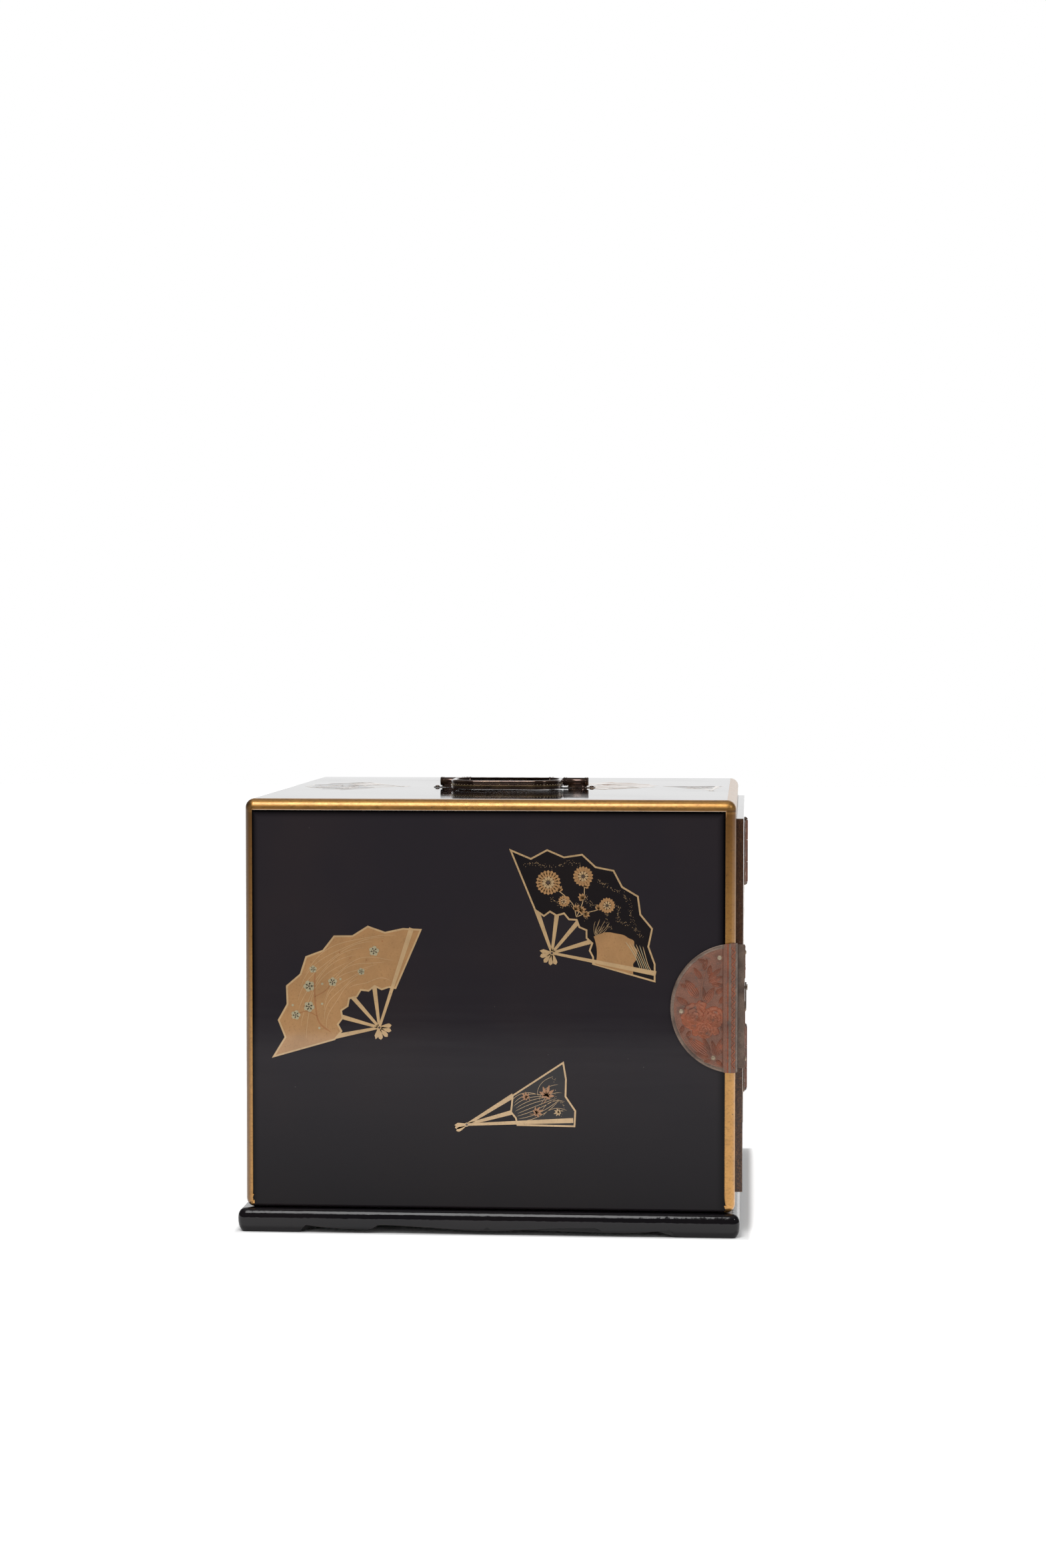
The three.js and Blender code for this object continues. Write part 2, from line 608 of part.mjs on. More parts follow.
function addHandle(parent) {
  const wide = handlePlateWide;
  const shoulder = handlePlateShoulder;
  const straight = handlePlateHalf - handlePlateTip;
  const turn = handlePlateHalf - handlePlateTip / 2;
  const plan = new THREE.Shape();
  plan.moveTo(wide, -straight);
  plan.lineTo(wide, straight);
  plan.quadraticCurveTo(wide, turn, shoulder, turn);
  plan.quadraticCurveTo(shoulder / 2, turn, 0, handlePlateHalf);
  plan.quadraticCurveTo(-shoulder / 2, turn, -shoulder, turn);
  plan.quadraticCurveTo(-wide, turn, -wide, straight);
  plan.lineTo(-wide, -straight);
  plan.quadraticCurveTo(-wide, -turn, -shoulder, -turn);
  plan.quadraticCurveTo(-shoulder / 2, -turn, 0, -handlePlateHalf);
  plan.quadraticCurveTo(shoulder / 2, -turn, shoulder, -turn);
  plan.quadraticCurveTo(wide, -turn, wide, -straight);
  const plateTop = glue + handlePlateThick;
  const plate = prism("z", plan, glue, plateTop, 4).subtract(stemHoles(-beyond, plateTop + beyond));
  piece(parent, "handle_plate", plate, bronze);

  const seat = plateTop + glue;
  const under = -wall - fit;
  for (const [name, side] of [
    ["front", -1],
    ["back", 1],
  ]) {
    const [y0, y1] = side < 0 ? [-postOuter, -postInner] : [postInner, postOuter];
    const middle = (y0 + y1) / 2;
    const [foot0, foot1] = [middle - postFootHalf, middle + postFootHalf];
    const [stem0, stem1] = [middle - stemHalf, middle + stemHalf];
    const sleeve = bar("y", sleeveRadius, y0, y1, 0, handleAxisUp);
    const foot = box(-postFootWide, postFootWide, foot0, foot1, seat, handleAxisUp);
    const stem = box(-stemHalf, stemHalf, stem0, stem1, under - stemClenchThick, handleAxisUp);
    const clench = box(-stemClenchHalf, stemClenchHalf, stem0, stem1, under - stemClenchThick, under);
    const through = bar("y", rodRadius + fit, y0 - beyond, y1 + beyond, 0, handleAxisUp);
    const post = sleeve.add(foot).add(stem).add(clench).subtract(through);
    piece(parent, "handle_post_" + name, post, bronze);
  }
  piece(parent, "handle_rod", bar("y", rodRadius, -postOuter, postOuter, 0, handleAxisUp), bronze);

  const low = plateTop + fit;
  const far = -bailReach;
  const corner = bailCorner;
  const outer = new THREE.Shape();
  outer.moveTo(0, -barrelHalf);
  outer.lineTo(0, barrelHalf);
  outer.lineTo(-bailArmStart, barrelHalf);
  outer.quadraticCurveTo(-bailArmStart - bailArmRun / 2, bailHalf, -bailArmStart - bailArmRun, bailHalf);
  outer.lineTo(far + corner, bailHalf);
  outer.absarc(far + corner, bailHalf - corner, corner, Math.PI / 2, Math.PI, false);
  outer.lineTo(far, -bailHalf + corner);
  outer.absarc(far + corner, -bailHalf + corner, corner, Math.PI, 1.5 * Math.PI, false);
  outer.lineTo(-bailArmStart - bailArmRun, -bailHalf);
  outer.quadraticCurveTo(-bailArmStart - bailArmRun / 2, -bailHalf, -bailArmStart, -barrelHalf);
  const inner = bailHalf - bailBand;
  const innerCorner = corner - bailBand;
  const armEnd = barrelHalf - bailBand;
  const hollow = new THREE.Shape();
  hollow.moveTo(-sleeveRadius, -armEnd);
  hollow.lineTo(-sleeveRadius, armEnd);
  hollow.quadraticCurveTo(-bailArmStart - bailArmRun / 2, inner, -bailArmStart - bailArmRun, inner);
  hollow.lineTo(far + corner, inner);
  hollow.absarc(far + corner, inner - innerCorner, innerCorner, Math.PI / 2, Math.PI, false);
  hollow.lineTo(far + bailBand, -inner + innerCorner);
  hollow.absarc(far + corner, -inner + innerCorner, innerCorner, Math.PI, 1.5 * Math.PI, false);
  hollow.lineTo(-bailArmStart - bailArmRun, -inner);
  hollow.quadraticCurveTo(-bailArmStart - bailArmRun / 2, -inner, -sleeveRadius, -armEnd);
  const hoop = prism("z", outer, low, low + bailHeight).subtract(
    prism("z", hollow, low - beyond, low + bailHeight + beyond),
  );
  const barrel = bar("y", sleeveRadius, -barrelHalf, barrelHalf, 0, handleAxisUp);
  const through = bar("y", rodRadius + fit, -barrelHalf - beyond, barrelHalf + beyond, 0, handleAxisUp);
  const bail = hoop.add(barrel).subtract(through);
  piece(parent, "bail", bail.translate([0, bailShift, 0]), bronze);
}

const cabinet = new THREE.Group();
const whole = group(cabinet, 0, frontY, 0);
addCase(whole);
addPlinth(whole);
addDoor(whole);
for (const space of drawerSpaces()) addDrawer(whole, space);
const hingeX = halfWidth + hingeOut;
addHinge(group(whole, hingeX, -hingeAhead, caseBottom + hingeFromEnd), "lower");
addHinge(group(whole, hingeX, -hingeAhead, caseTop - hingeFromEnd), "upper");
addLock(group(whole, 0, 0, lockHeight));
addHandle(group(whole, 0, handleY(), caseTop));

export default cabinet;
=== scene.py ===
import random
from math import atan2, copysign, cos, degrees, hypot, log, pi, radians, sin, sqrt

import bmesh
import bpy
from mathutils import Matrix, Vector


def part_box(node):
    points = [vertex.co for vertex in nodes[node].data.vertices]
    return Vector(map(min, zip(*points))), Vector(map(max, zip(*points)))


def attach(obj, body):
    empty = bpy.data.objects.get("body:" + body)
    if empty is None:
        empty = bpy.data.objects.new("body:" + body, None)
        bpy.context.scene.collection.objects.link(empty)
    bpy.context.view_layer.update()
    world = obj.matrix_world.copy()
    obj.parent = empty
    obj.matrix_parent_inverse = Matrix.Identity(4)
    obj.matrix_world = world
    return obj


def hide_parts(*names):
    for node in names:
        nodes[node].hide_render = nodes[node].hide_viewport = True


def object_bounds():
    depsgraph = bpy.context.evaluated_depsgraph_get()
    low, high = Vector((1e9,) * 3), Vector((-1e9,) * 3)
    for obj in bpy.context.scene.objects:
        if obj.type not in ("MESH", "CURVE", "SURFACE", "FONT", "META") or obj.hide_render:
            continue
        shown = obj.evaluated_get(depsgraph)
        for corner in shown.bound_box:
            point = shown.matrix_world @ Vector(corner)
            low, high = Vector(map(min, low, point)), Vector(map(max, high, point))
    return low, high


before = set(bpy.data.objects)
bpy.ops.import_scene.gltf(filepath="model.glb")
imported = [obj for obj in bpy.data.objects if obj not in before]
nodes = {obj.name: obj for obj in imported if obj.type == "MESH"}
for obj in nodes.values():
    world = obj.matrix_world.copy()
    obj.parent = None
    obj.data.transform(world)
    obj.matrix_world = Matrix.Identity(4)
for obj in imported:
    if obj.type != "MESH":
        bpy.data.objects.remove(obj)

cad_low, cad_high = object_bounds()
mm = 0.001

# Camera, from the photograph
lens = 70
sensor = 36
camera_at = Vector((-2.0075, -0.1561, 0.3560))
camera_turn = radians(4.237)
camera_dip = radians(2.494)
camera_lean = radians(0.03)

# Stage
floor_near = -1.12
floor_far = 6.0
floor_half = 5.0

# How strongly the floor glows for the camera, and how far past the object's box that is reached
floor_glow = 0.6
glow_edge = 6 * mm

# Light of the room on matt surfaces; what mirror rays find in its dark part and overhead
room_light = 0.72
room_dim = 0.09
room_overhead = 0.35

# Lamps: name, place, aim, width, depth, watts
lamps = (("overhead_softbox", (-1.15, 0.2, 1.55), (-0.1, 0.05, 0.15), 0.6, 1.0, 15),
         ("front_lamp", (-0.9, -1.2, 1.1), (-0.15, -0.15, 0.2), 0.18, 0.18, 2.6))

# The case, read from the frame
case_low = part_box("left_side")[0]
case_high = Vector((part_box("right_side")[1].x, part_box("back_board")[1].y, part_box("top_board")[1].z))
opening_low = Vector((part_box("left_side")[1].x, case_low.y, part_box("bottom_board")[1].z))
opening_high = Vector((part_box("right_side")[0].x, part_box("back_board")[0].y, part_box("top_board")[0].z))
edge_round = 5.5 * mm
panel_sunk = 1 * mm
panel_front = 6.5 * mm
panel_back = 4.7 * mm
panel_top = 7 * mm
taper_high = 11 * mm
taper_in = 2.4 * mm
ledge_round = 0.7 * mm

# Distances taken as none, and as far as vertices are welded: in metres, and in millimetres along a seam
slack = 1e-5
weld_reach = 1e-6
seam_reach = 1e-4

# How far inlays are sunk in the lacquer, and chased work in its plate, in millimetres
inlay_sunk = 0.25
chasing_sunk = 0.3

# Near-black painted shade, laid on a side panel beside its gold rim and towards its foot
painted_shade_black = (0.0012, 0.0009, 0.0012)

# Turns a frame over, and flattens a relief laid on it
flip_z = Matrix.Diagonal((1, 1, -1, 1))
nearly_flat = Matrix.Diagonal((1, 1, 0.25, 1))


# Materials

class Nodes:
    """Adds shader nodes to a tree; an input takes a plain value or another node's output."""

    def __init__(self, tree):
        self.tree = tree

    def put(self, socket, value):
        if isinstance(value, bpy.types.NodeSocket):
            self.tree.links.new(value, socket)
        elif socket.type == "RGBA":
            socket.default_value = (*value, 1)
        else:
            socket.default_value = value

    def node(self, kind, values):
        made = self.tree.nodes.new("ShaderNode" + kind)
        for name, value in values.items():
            self.put(made.inputs[name], value)
        return made

    def split(self, vector):
        return self.node("SeparateXYZ", {"Vector": vector}).outputs

    def step(self, value, low, high, to_low=0.0, to_high=1.0, soft=False):
        values = {"Value": value, "From Min": low, "From Max": high, "To Min": to_low, "To Max": to_high}
        made = self.node("MapRange", values)
        if soft:
            made.interpolation_type = "SMOOTHSTEP"
        return made.outputs["Result"]

    def join(self, operation, first, *others):
        """Joins values by one operation, from left to right."""
        for other in others:
            made = self.tree.nodes.new("ShaderNodeMath")
            made.operation = operation
            self.put(made.inputs[0], first)
            self.put(made.inputs[1], other)
            first = made.outputs["Value"]
        return first

    def blend(self, amount, first, second):
        made = self.tree.nodes.new("ShaderNodeMix")
        made.data_type = "RGBA"
        self.put(made.inputs["Factor"], amount)
        for name, value in (("A", first), ("B", second)):
            self.put([s for s in made.inputs if s.name == name and s.type == "RGBA"][0], value)
        return [s for s in made.outputs if s.type == "RGBA"][0]


class Finish(Nodes):
    """A finish built from noise on the object's own coordinates."""

    def __init__(self, name, color, roughness, metallic=0.0, level=0.5, coat=0.0):
        self.material = bpy.data.materials.new(name)
        self.material.use_nodes = True
        super().__init__(self.material.node_tree)
        self.ground = color
        self.shade({"Roughness": roughness, "Metallic": metallic, "Specular IOR Level": level,
                    "Coat Weight": coat, "Coat Roughness": 0.05})
        self.where = self.node("TexCoord", {}).outputs["Object"]

    def shade(self, values):
        for name, value in values.items():
            self.put(self.tree.nodes["Principled BSDF"].inputs[name], value)

    def mapped(self, stretch, shift):
        moved = (shift, shift * 0.7, shift * 1.3)
        values = {"Scale": stretch, "Location": moved, "Vector": self.where}
        return self.node("Mapping", values).outputs["Vector"]

    def noise(self, scale, detail=4.0, stretch=(1, 1, 1), shift=0.0):
        values = {"Scale": scale, "Detail": detail, "Vector": self.mapped(stretch, shift)}
        return self.node("TexNoise", values).outputs["Fac"]

    def cells(self, scale, shift=0.0):
        values = {"Scale": scale, "Vector": self.mapped((1, 1, 1), shift)}
        return self.node("TexVoronoi", values).outputs["Distance"]

    def patches(self, low, high, scale, *args, **more):
        """Patches of noise, from none at low to full at high."""
        return self.step(self.noise(scale, *args, **more), low, high)

    def dots(self, low, high, scale, shift=0.0):
        """Spots round the middle of cells, from none at low to full at high."""
        return self.step(self.cells(scale, shift), low, high)

    def along(self, axis):
        return self.split(self.where)[axis]

    def cover(self, color, *amounts):
        """Lays a colour over what is there, as far as the amounts multiplied together go."""
        self.ground = self.blend(self.join("MULTIPLY", *amounts), self.ground, color)

    def gloss(self, scale, detail, low, high):
        """Roughness that wanders from low to high."""
        self.shade({"Roughness": self.step(self.noise(scale, detail), 0.3, 0.7, low, high)})

    def bump(self, height, strength, distance):
        made = self.node("Bump", {"Strength": strength, "Distance": distance, "Height": height})
        self.shade({"Normal": made.outputs["Normal"]})

    def done(self):
        self.shade({"Base Color": self.ground})
        return self.material


def toned(color, share):
    return tuple(c * share for c in color)


def painted_rim_shadow(finish):
    """Painted shadow along the edges of a side panel: how dark its lacquer is painted beside the gold rim
    and at its foot.
    """
    up, along = finish.along("Z"), finish.along("Y")
    top = case_high.z - panel_top
    front = case_low.y + panel_front
    back = case_high.y - panel_back
    corners = ((up, top - 5.4 * mm, top - 0.8 * mm),
               (along, back - 4 * mm, back - 0.3 * mm),
               (along, front + 5.6 * mm, front + 0.6 * mm),
               (up, case_low.z + 3.0 * mm, case_low.z + 1.2 * mm))
    deep = finish.join("MAXIMUM", *[finish.step(*corner) for corner in corners])
    return finish.join("POWER", deep, 1.7)


# The finishes. Each covers its ground colour layer by layer: a colour, then the patches or dots it lies in,
# with the two levels they run between, the scale, and for noise the detail.

def make_lacquer(name, ink, worn, level, gloss, framed=False, ripple=36, uneven=0.05):
    finish = Finish(name, ink, gloss, level=level)
    finish.cover(worn, finish.patches(0.42, 0.7, 14, 3))
    if framed:
        # Painted shade: the side panel darker towards its foot, and a painted shadow along its edges beside
        # the gold rim
        finish.cover(painted_shade_black, finish.step(finish.along("Z"), case_low.z + 90 * mm, case_low.z, 0, 0.6))
        finish.cover(painted_shade_black, painted_rim_shadow(finish))
    speck = finish.dots(0.035, 0.02, 150)
    rare = finish.patches(0.68, 0.7, 60, 0, shift=3)
    finish.cover((0.12, 0.11, 0.1), speck, rare)
    rubbed = finish.noise(240, 2, stretch=(0.06, 0.06, 1))
    finish.shade({"Roughness": finish.step(rubbed, 0.35, 0.75, gloss - 0.02, gloss + 0.05)})
    finish.bump(finish.noise(ripple, 2), uneven, 0.0006)
    return finish.done()


def make_rim_gold():
    metallic = 0.92
    finish = Finish("rim_gold", (0.53, 0.272, 0.074), 0.42, metallic, coat=0.6)
    finish.shade({"Coat Roughness": 0.12, "Coat IOR": 1.42})
    finish.cover((0.47, 0.236, 0.062), finish.patches(0.40, 0.7, 90, 3))

    # Painted shade: the stiles darker towards their top, below the lit top rim, and a darker band along the
    # rear edge
    up = finish.along("Z")
    shaded = finish.step(up, case_low.z + 110 * mm, case_high.z - 8 * mm)
    stile = finish.step(up, case_high.z - 5.5 * mm, case_high.z - 9 * mm)
    finish.cover((0.215, 0.098, 0.026), shaded, stile)
    rear = finish.step(finish.along("Y"), case_high.y - 4.6 * mm, case_high.y - 1.8 * mm)
    finish.cover((0.115, 0.060, 0.024), rear, 0.9)

    # Painted shade in dark streaks under the rounding of the top rim
    lower = finish.step(up, case_high.z - 4.2 * mm, case_high.z - 6.8 * mm)
    upper = finish.step(up, case_high.z - panel_top - 0.6 * mm, case_high.z - panel_top)
    shade_streak = finish.step(finish.noise(190, 5, stretch=(1, 0.22, 1), shift=2), 0.35, 0.65, 0.45, 0.95)
    finish.cover((0.125, 0.058, 0.021), lower, upper, shade_streak)

    grime = finish.patches(0.50, 0.74, 900, 5, stretch=(1, 0.5, 1), shift=5)
    finish.cover((0.13, 0.066, 0.026), grime, 0.45)
    chip = finish.patches(0.715, 0.72, 420, 6, stretch=(1, 0.5, 1), shift=9)
    finish.cover((0.012, 0.009, 0.008), chip)
    finish.shade({"Metallic": finish.step(chip, 0, 1, metallic, 0.0)})
    finish.gloss(300, 4, 0.37, 0.47)
    finish.bump(finish.noise(800, 3), 0.12, 0.0001)
    return finish.done()


def make_inlay_gold(name, color, roughness=0.5, metallic=0.55):
    finish = Finish(name, color, roughness, metallic, coat=0.9)
    finish.cover(toned(color, 0.84), finish.patches(0.38, 0.72, 95, 5))
    worn = finish.patches(0.58, 0.7, 900, 3, shift=2)
    finish.cover(toned(color, 0.62), worn, 0.55)
    finish.gloss(500, 3, roughness - 0.1, roughness + 0.1)
    finish.bump(finish.noise(1600, 2), 0.2, 0.0001)
    return finish.done()


def make_nashiji():
    """Lacquer sprinkled with fine gold, here and there with larger flakes."""
    finish = Finish("sprinkled_lacquer", (0.0200, 0.0092, 0.0064), 0.16, level=0.25, coat=0.1)
    finish.cover((0.030, 0.0145, 0.0095), finish.patches(0.35, 0.7, 18, 3))
    finish.cover((0.150, 0.068, 0.034), finish.dots(0.46, 0.30, 5200), 0.75)
    flake = finish.dots(0.36, 0.24, 3300, shift=4)
    shown = finish.patches(0.46, 0.58, 900, 2, shift=7)
    flake = finish.join("MULTIPLY", flake, shown)
    finish.cover((0.38, 0.185, 0.078), flake)
    finish.shade({"Metallic": finish.join("MULTIPLY", flake, 0.7)})
    finish.gloss(300, 3, 0.14, 0.3)
    finish.bump(finish.cells(3300, shift=4), 0.06, 0.00005)
    return finish.done()


def make_copper(name, clean, dark, roughness=0.46, stipple=0.6, metallic=0.4):
    finish = Finish(name, clean, roughness, metallic)
    finish.cover(dark, finish.patches(0.40, 0.68, 110, 5))
    finish.cover((0.11, 0.090, 0.075), finish.patches(0.56, 0.72, 260, 5, shift=4), 0.7)
    finish.cover(toned(dark, 0.4), finish.dots(0.2, 0.55, 1700), 0.35)
    finish.gloss(320, 4, roughness - 0.12, roughness + 0.12)
    finish.bump(finish.cells(1700), stipple, 0.00012)
    return finish.done()


def make_bronze(name, brown, worn, coat):
    finish = Finish(name, brown, 0.26, 0.8, coat=coat)
    finish.cover(worn, finish.patches(0.46, 0.66, 130, 5), 0.8)
    finish.cover(toned(brown, 0.25), finish.patches(0.5, 0.7, 600, 4, shift=6), 0.6)
    finish.gloss(420, 4, 0.13, 0.28)
    finish.bump(finish.noise(1100, 4), 0.15, 0.00006)
    return finish.done()


def make_iron():
    finish = Finish("iron", (0.065, 0.06, 0.055), 0.5, 0.85)
    finish.cover((0.07, 0.035, 0.02), finish.patches(0.55, 0.7, 260, 6), 0.6)
    finish.gloss(500, 4, 0.38, 0.62)
    finish.bump(finish.noise(900, 5), 0.4, 0.00015)
    return finish.done()


case_lacquer = make_lacquer("case_lacquer", (0.0150, 0.0120, 0.0148), (0.0180, 0.0138, 0.0154), 0.15, 0.08)
panel_lacquer = make_lacquer("panel_lacquer", (0.0176, 0.0149, 0.0178), (0.0204, 0.0163, 0.0182),
                             0.11, 0.08, framed=True)
top_lacquer = make_lacquer("top_lacquer", (0.0060, 0.0054, 0.0068), (0.0085, 0.0066, 0.0074), 0.5, 0.05)
plinth_lacquer = make_lacquer("plinth_lacquer", (0.0050, 0.0042, 0.0054), (0.0065, 0.0050, 0.0060),
                              0.29, 0.10, ripple=190, uneven=0.22)
black = make_lacquer("black_lacquer", (0.0085, 0.0070, 0.0080), (0.0120, 0.0090, 0.0090), 0.3, 0.10)
rim_gold = make_rim_gold()
# Pale gold: a painted highlight on the lower edge of the top rim's ledge
edge_highlight = make_inlay_gold("rim_edge_painted_highlight", (0.55, 0.44, 0.33), 0.34, 0.8)
line_gold = make_inlay_gold("line_gold", (0.52, 0.345, 0.175), 0.42, 0.6)
ground_gold = make_inlay_gold("ground_gold", (0.385, 0.205, 0.080), 0.5, 0.5)
silver = make_inlay_gold("inlay_silver", (0.40, 0.345, 0.215), 0.45, 0.6)
russet = make_inlay_gold("inlay_russet", (0.33, 0.145, 0.05), 0.5, 0.45)
sepia = make_inlay_gold("inlay_sepia", (0.06, 0.034, 0.022), 0.5, 0.2)
nashiji = make_nashiji()
copper = make_copper("copper_ground", (0.245, 0.108, 0.070), (0.165, 0.080, 0.056))
copper_relief = make_copper("copper_relief", (0.270, 0.112, 0.068), (0.205, 0.092, 0.060), 0.4, 0.2)
copper_petal = make_copper("copper_petal", (0.330, 0.100, 0.047), (0.235, 0.088, 0.050), 0.4, 0.1)
copper_cut = make_copper("copper_cut", (0.330, 0.078, 0.030), (0.120, 0.036, 0.022), 0.5, 0.1)
copper_edge = make_copper("copper_edge", (0.215, 0.150, 0.112), (0.105, 0.070, 0.054), 0.42, 0.2)
nail_metal = make_copper("nail_metal", (0.46, 0.38, 0.27), (0.24, 0.17, 0.11), 0.4, 0.1)
coppers = [copper, copper_relief, nail_metal, copper_petal, copper_cut, copper_edge]
PLATE, RELIEF, NAIL, PETAL, CUT, EDGE = range(len(coppers))
bronze = make_bronze("handle_bronze", (0.078, 0.044, 0.033), (0.15, 0.092, 0.055), 0.6)
bronze_lip = make_bronze("handle_worn_lip", (0.30, 0.215, 0.095), (0.40, 0.29, 0.13), 0.3)
iron = make_iron()

case_looks = [case_lacquer, rim_gold, panel_lacquer, top_lacquer, edge_highlight]
CASE, GOLD, PANEL, TOP, LIT_EDGE = range(len(case_looks))
inlays = [line_gold, ground_gold, black, silver, russet, sepia]
LINE, GROUND, BLACK, SILVER, RUSSET, SEPIA = range(len(inlays))


# Mesh tools

def clamp(value, low=0.0, high=1.0):
    return min(max(value, low), high)


def dome(t):
    """Height of a half circle of radius 1, at t from its middle."""
    return sqrt(max(0.0, 1 - t ** 2))


def sheet(bm, across, along, place):
    """A grid of cells laid out by place(u, v), with u and v from 0 to 1."""
    made = bmesh.ops.create_grid(bm, x_segments=across, y_segments=along, size=0.5)
    for vert in made["verts"]:
        vert.co = place(vert.co.x + 0.5, vert.co.y + 0.5)
    return made["verts"]


def faces_of(verts):
    return list({face for vert in verts for face in vert.link_faces})


def raised(verts, height, index):
    """Lifts a flat patch to its height in a relief that stood_up then gives its walls and base."""
    for vert in verts:
        vert.co.z += height
    for face in faces_of(verts):
        face.material_index = index


def stood_up(bm, sunk=inlay_sunk):
    """Turns every patch of a relief into a solid with a flat base below the surface it stands on."""
    tops = bm.verts[:]
    bmesh.ops.extrude_face_region(bm, geom=bm.faces[:])
    for vert in tops:
        vert.co.z = -sunk


def disc(bm, at, radius, height, index, sides=12):
    made = bmesh.ops.create_circle(bm, cap_ends=True, radius=radius, segments=sides)["verts"]
    bmesh.ops.translate(bm, verts=made, vec=(at[0], at[1], 0))
    raised(made, height, index)


def ribbon(bm, path, width, height, index, steps=16):
    """A thin line along path(t), t from 0 to 1, drawn to points at both ends."""
    def place(u, v):
        here = Vector(path(v))
        ahead = Vector(path(min(v + 0.02, 1.0))) - Vector(path(max(v - 0.02, 0.0)))
        side = Vector((-ahead.y, ahead.x)).normalized()
        half = width / 2 * min(1.0, 0.3 + 6 * v * (1 - v))
        point = here + side * half * (2 * u - 1)
        return Vector((point.x, point.y, 0))
    raised(sheet(bm, 1, steps, place), height, index)


def axis_of(root, tip):
    """A leaf's root, its run from root to tip and the direction across it, in the plane."""
    root = Vector(root).to_2d()
    run = Vector(tip).to_2d() - root
    return root, run, Vector((-run.y, run.x)).normalized()


def blade(bm, root, tip, width, height, index, crown=0.0, steps=14, belly=0.5):
    """A leaf or petal from root to tip, widest at belly, with a crowned back."""
    root, run, side = axis_of(root, tip)
    power = log(0.5) / log(belly)

    def place(u, v):
        half = width / 2 * sin(pi * clamp(v, 0.002, 0.998) ** power) ** 0.8
        off = 2 * u - 1
        point = root + run * v + side * half * off
        rise = crown * (1 - off * off) * sin(pi * clamp(v, 0.02, 0.98)) ** 0.5
        return Vector((point.x, point.y, rise))
    raised(sheet(bm, 8 if crown else 4, steps, place), height, index)


def laid_on(origin, across, up):
    """The frame of a face: x across it, y up it, z out of it, in millimetres."""
    across, up = Vector(across), Vector(up)
    turn = Matrix((across, up, across.cross(up))).transposed().to_4x4()
    return Matrix.Translation(Vector(origin)) @ turn @ Matrix.Scale(mm, 4)


def welded(bm):
    """Welds vertices that coincide and removes faces and edges of no size."""
    bmesh.ops.remove_doubles(bm, verts=bm.verts, dist=weld_reach)
    bmesh.ops.dissolve_degenerate(bm, edges=bm.edges, dist=weld_reach / 10)


def capped(bm):
    """Welds a tube drawn in millimetres along its seam and closes its open ends."""
    bmesh.ops.remove_doubles(bm, verts=bm.verts, dist=seam_reach)
    bmesh.ops.holes_fill(bm, edges=[e for e in bm.edges if e.is_boundary], sides=0)


def appended(bm, extra):
    """Adds a second mesh to the first and frees it."""
    part = bpy.data.meshes.new("part")
    extra.to_mesh(part)
    extra.free()
    bm.from_mesh(part)
    bpy.data.meshes.remove(part)


def finished(name, bm, body, materials, stands_for=(), sharp=35, weld=True, keep=False):
    """Turns a mesh into a piece that rides on a body."""
    if weld:
        welded(bm)
    if not keep:
        bmesh.ops.recalc_face_normals(bm, faces=bm.faces)
    mesh = bpy.data.meshes.new(name)
    bm.to_mesh(mesh)
    bm.free()
    for material in materials:
        mesh.materials.append(material)
    mesh.shade_smooth()
    mesh.set_sharp_from_angle(angle=radians(sharp))
    made = bpy.data.objects.new(name, mesh)
    bpy.context.scene.collection.objects.link(made)
    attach(made, body)
    if stands_for:
        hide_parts(*stands_for)
    return made


def inlaid(name, bm, body, where, materials, sunk=inlay_sunk, stands_for=()):
    """Turns a relief into a piece that stands on a face of its body."""
    stood_up(bm, sunk)
    bm.transform(where)
    finished(name, bm, body, materials, stands_for, weld=False)


def front_of(node):
    """The frame in the middle of a node's front face."""
    low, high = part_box(node)
    return laid_on(((low.x + high.x) / 2, low.y, (low.z + high.z) / 2), (1, 0, 0), (0, 0, 1))


def back_of(node):
    """The frame in the middle of a node's rear face."""
    low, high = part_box(node)
    return laid_on(((low.x + high.x) / 2, high.y, (low.z + high.z) / 2), (-1, 0, 0), (0, 0, 1))


def weighted(made):
    """Keeps large flat faces flat in shade beside their small rounded edges."""
    modifier = made.modifiers.new("flat faces stay flat", "WEIGHTED_NORMAL")
    modifier.keep_sharp = True


def bevelled(bm, edges, width, segments, **more):
    bmesh.ops.bevel(bm, geom=edges, offset=width, segments=segments, profile=0.5,
                    affect="EDGES", material=-1, **more)


def merged_copy(node):
    bm = bmesh.new()
    bm.from_mesh(nodes[node].data)
    bmesh.ops.remove_doubles(bm, verts=bm.verts, dist=2e-6)
    bmesh.ops.dissolve_limit(bm, angle_limit=radians(1), verts=bm.verts, edges=bm.edges)
    return bm


def eased(node, body, materials, width=0.4, segments=2, paint=None):
    """A copy of a solid with its sharp edges eased, as lacquer and filed metal have them."""
    bm = merged_copy(node)
    sharp = [e for e in bm.edges if len(e.link_faces) == 2 and e.calc_face_angle() > radians(40)]
    bevelled(bm, sharp, width * mm, segments, clamp_overlap=True)
    if paint:
        for face in bm.faces:
            face.material_index = paint(face)
    weighted(finished(node + "_finish", bm, body, materials, (node,), weld=False, keep=True))


def cut_across(bm, axis, at):
    """Runs a cut through the whole mesh, square to one axis."""
    normal = Vector([float(i == axis) for i in range(3)])
    geom = bm.verts[:] + bm.edges[:] + bm.faces[:]
    bmesh.ops.bisect_plane(bm, geom=geom, dist=1e-7, plane_co=normal * at, plane_no=normal)


def inside(point, low, high, beyond=slack):
    return all(l - beyond <= p <= h + beyond for p, l, h in zip(point, low, high))


# Case

def rounded_box(low, high, radius, segments):
    bm = bmesh.new()
    bmesh.ops.create_cube(bm, size=1)
    size = high - low
    for vert in bm.verts:
        vert.co = low + Vector([(c + 0.5) * s for c, s in zip(vert.co, size)])
    bevelled(bm, bm.edges[:], radius, segments)
    return bm


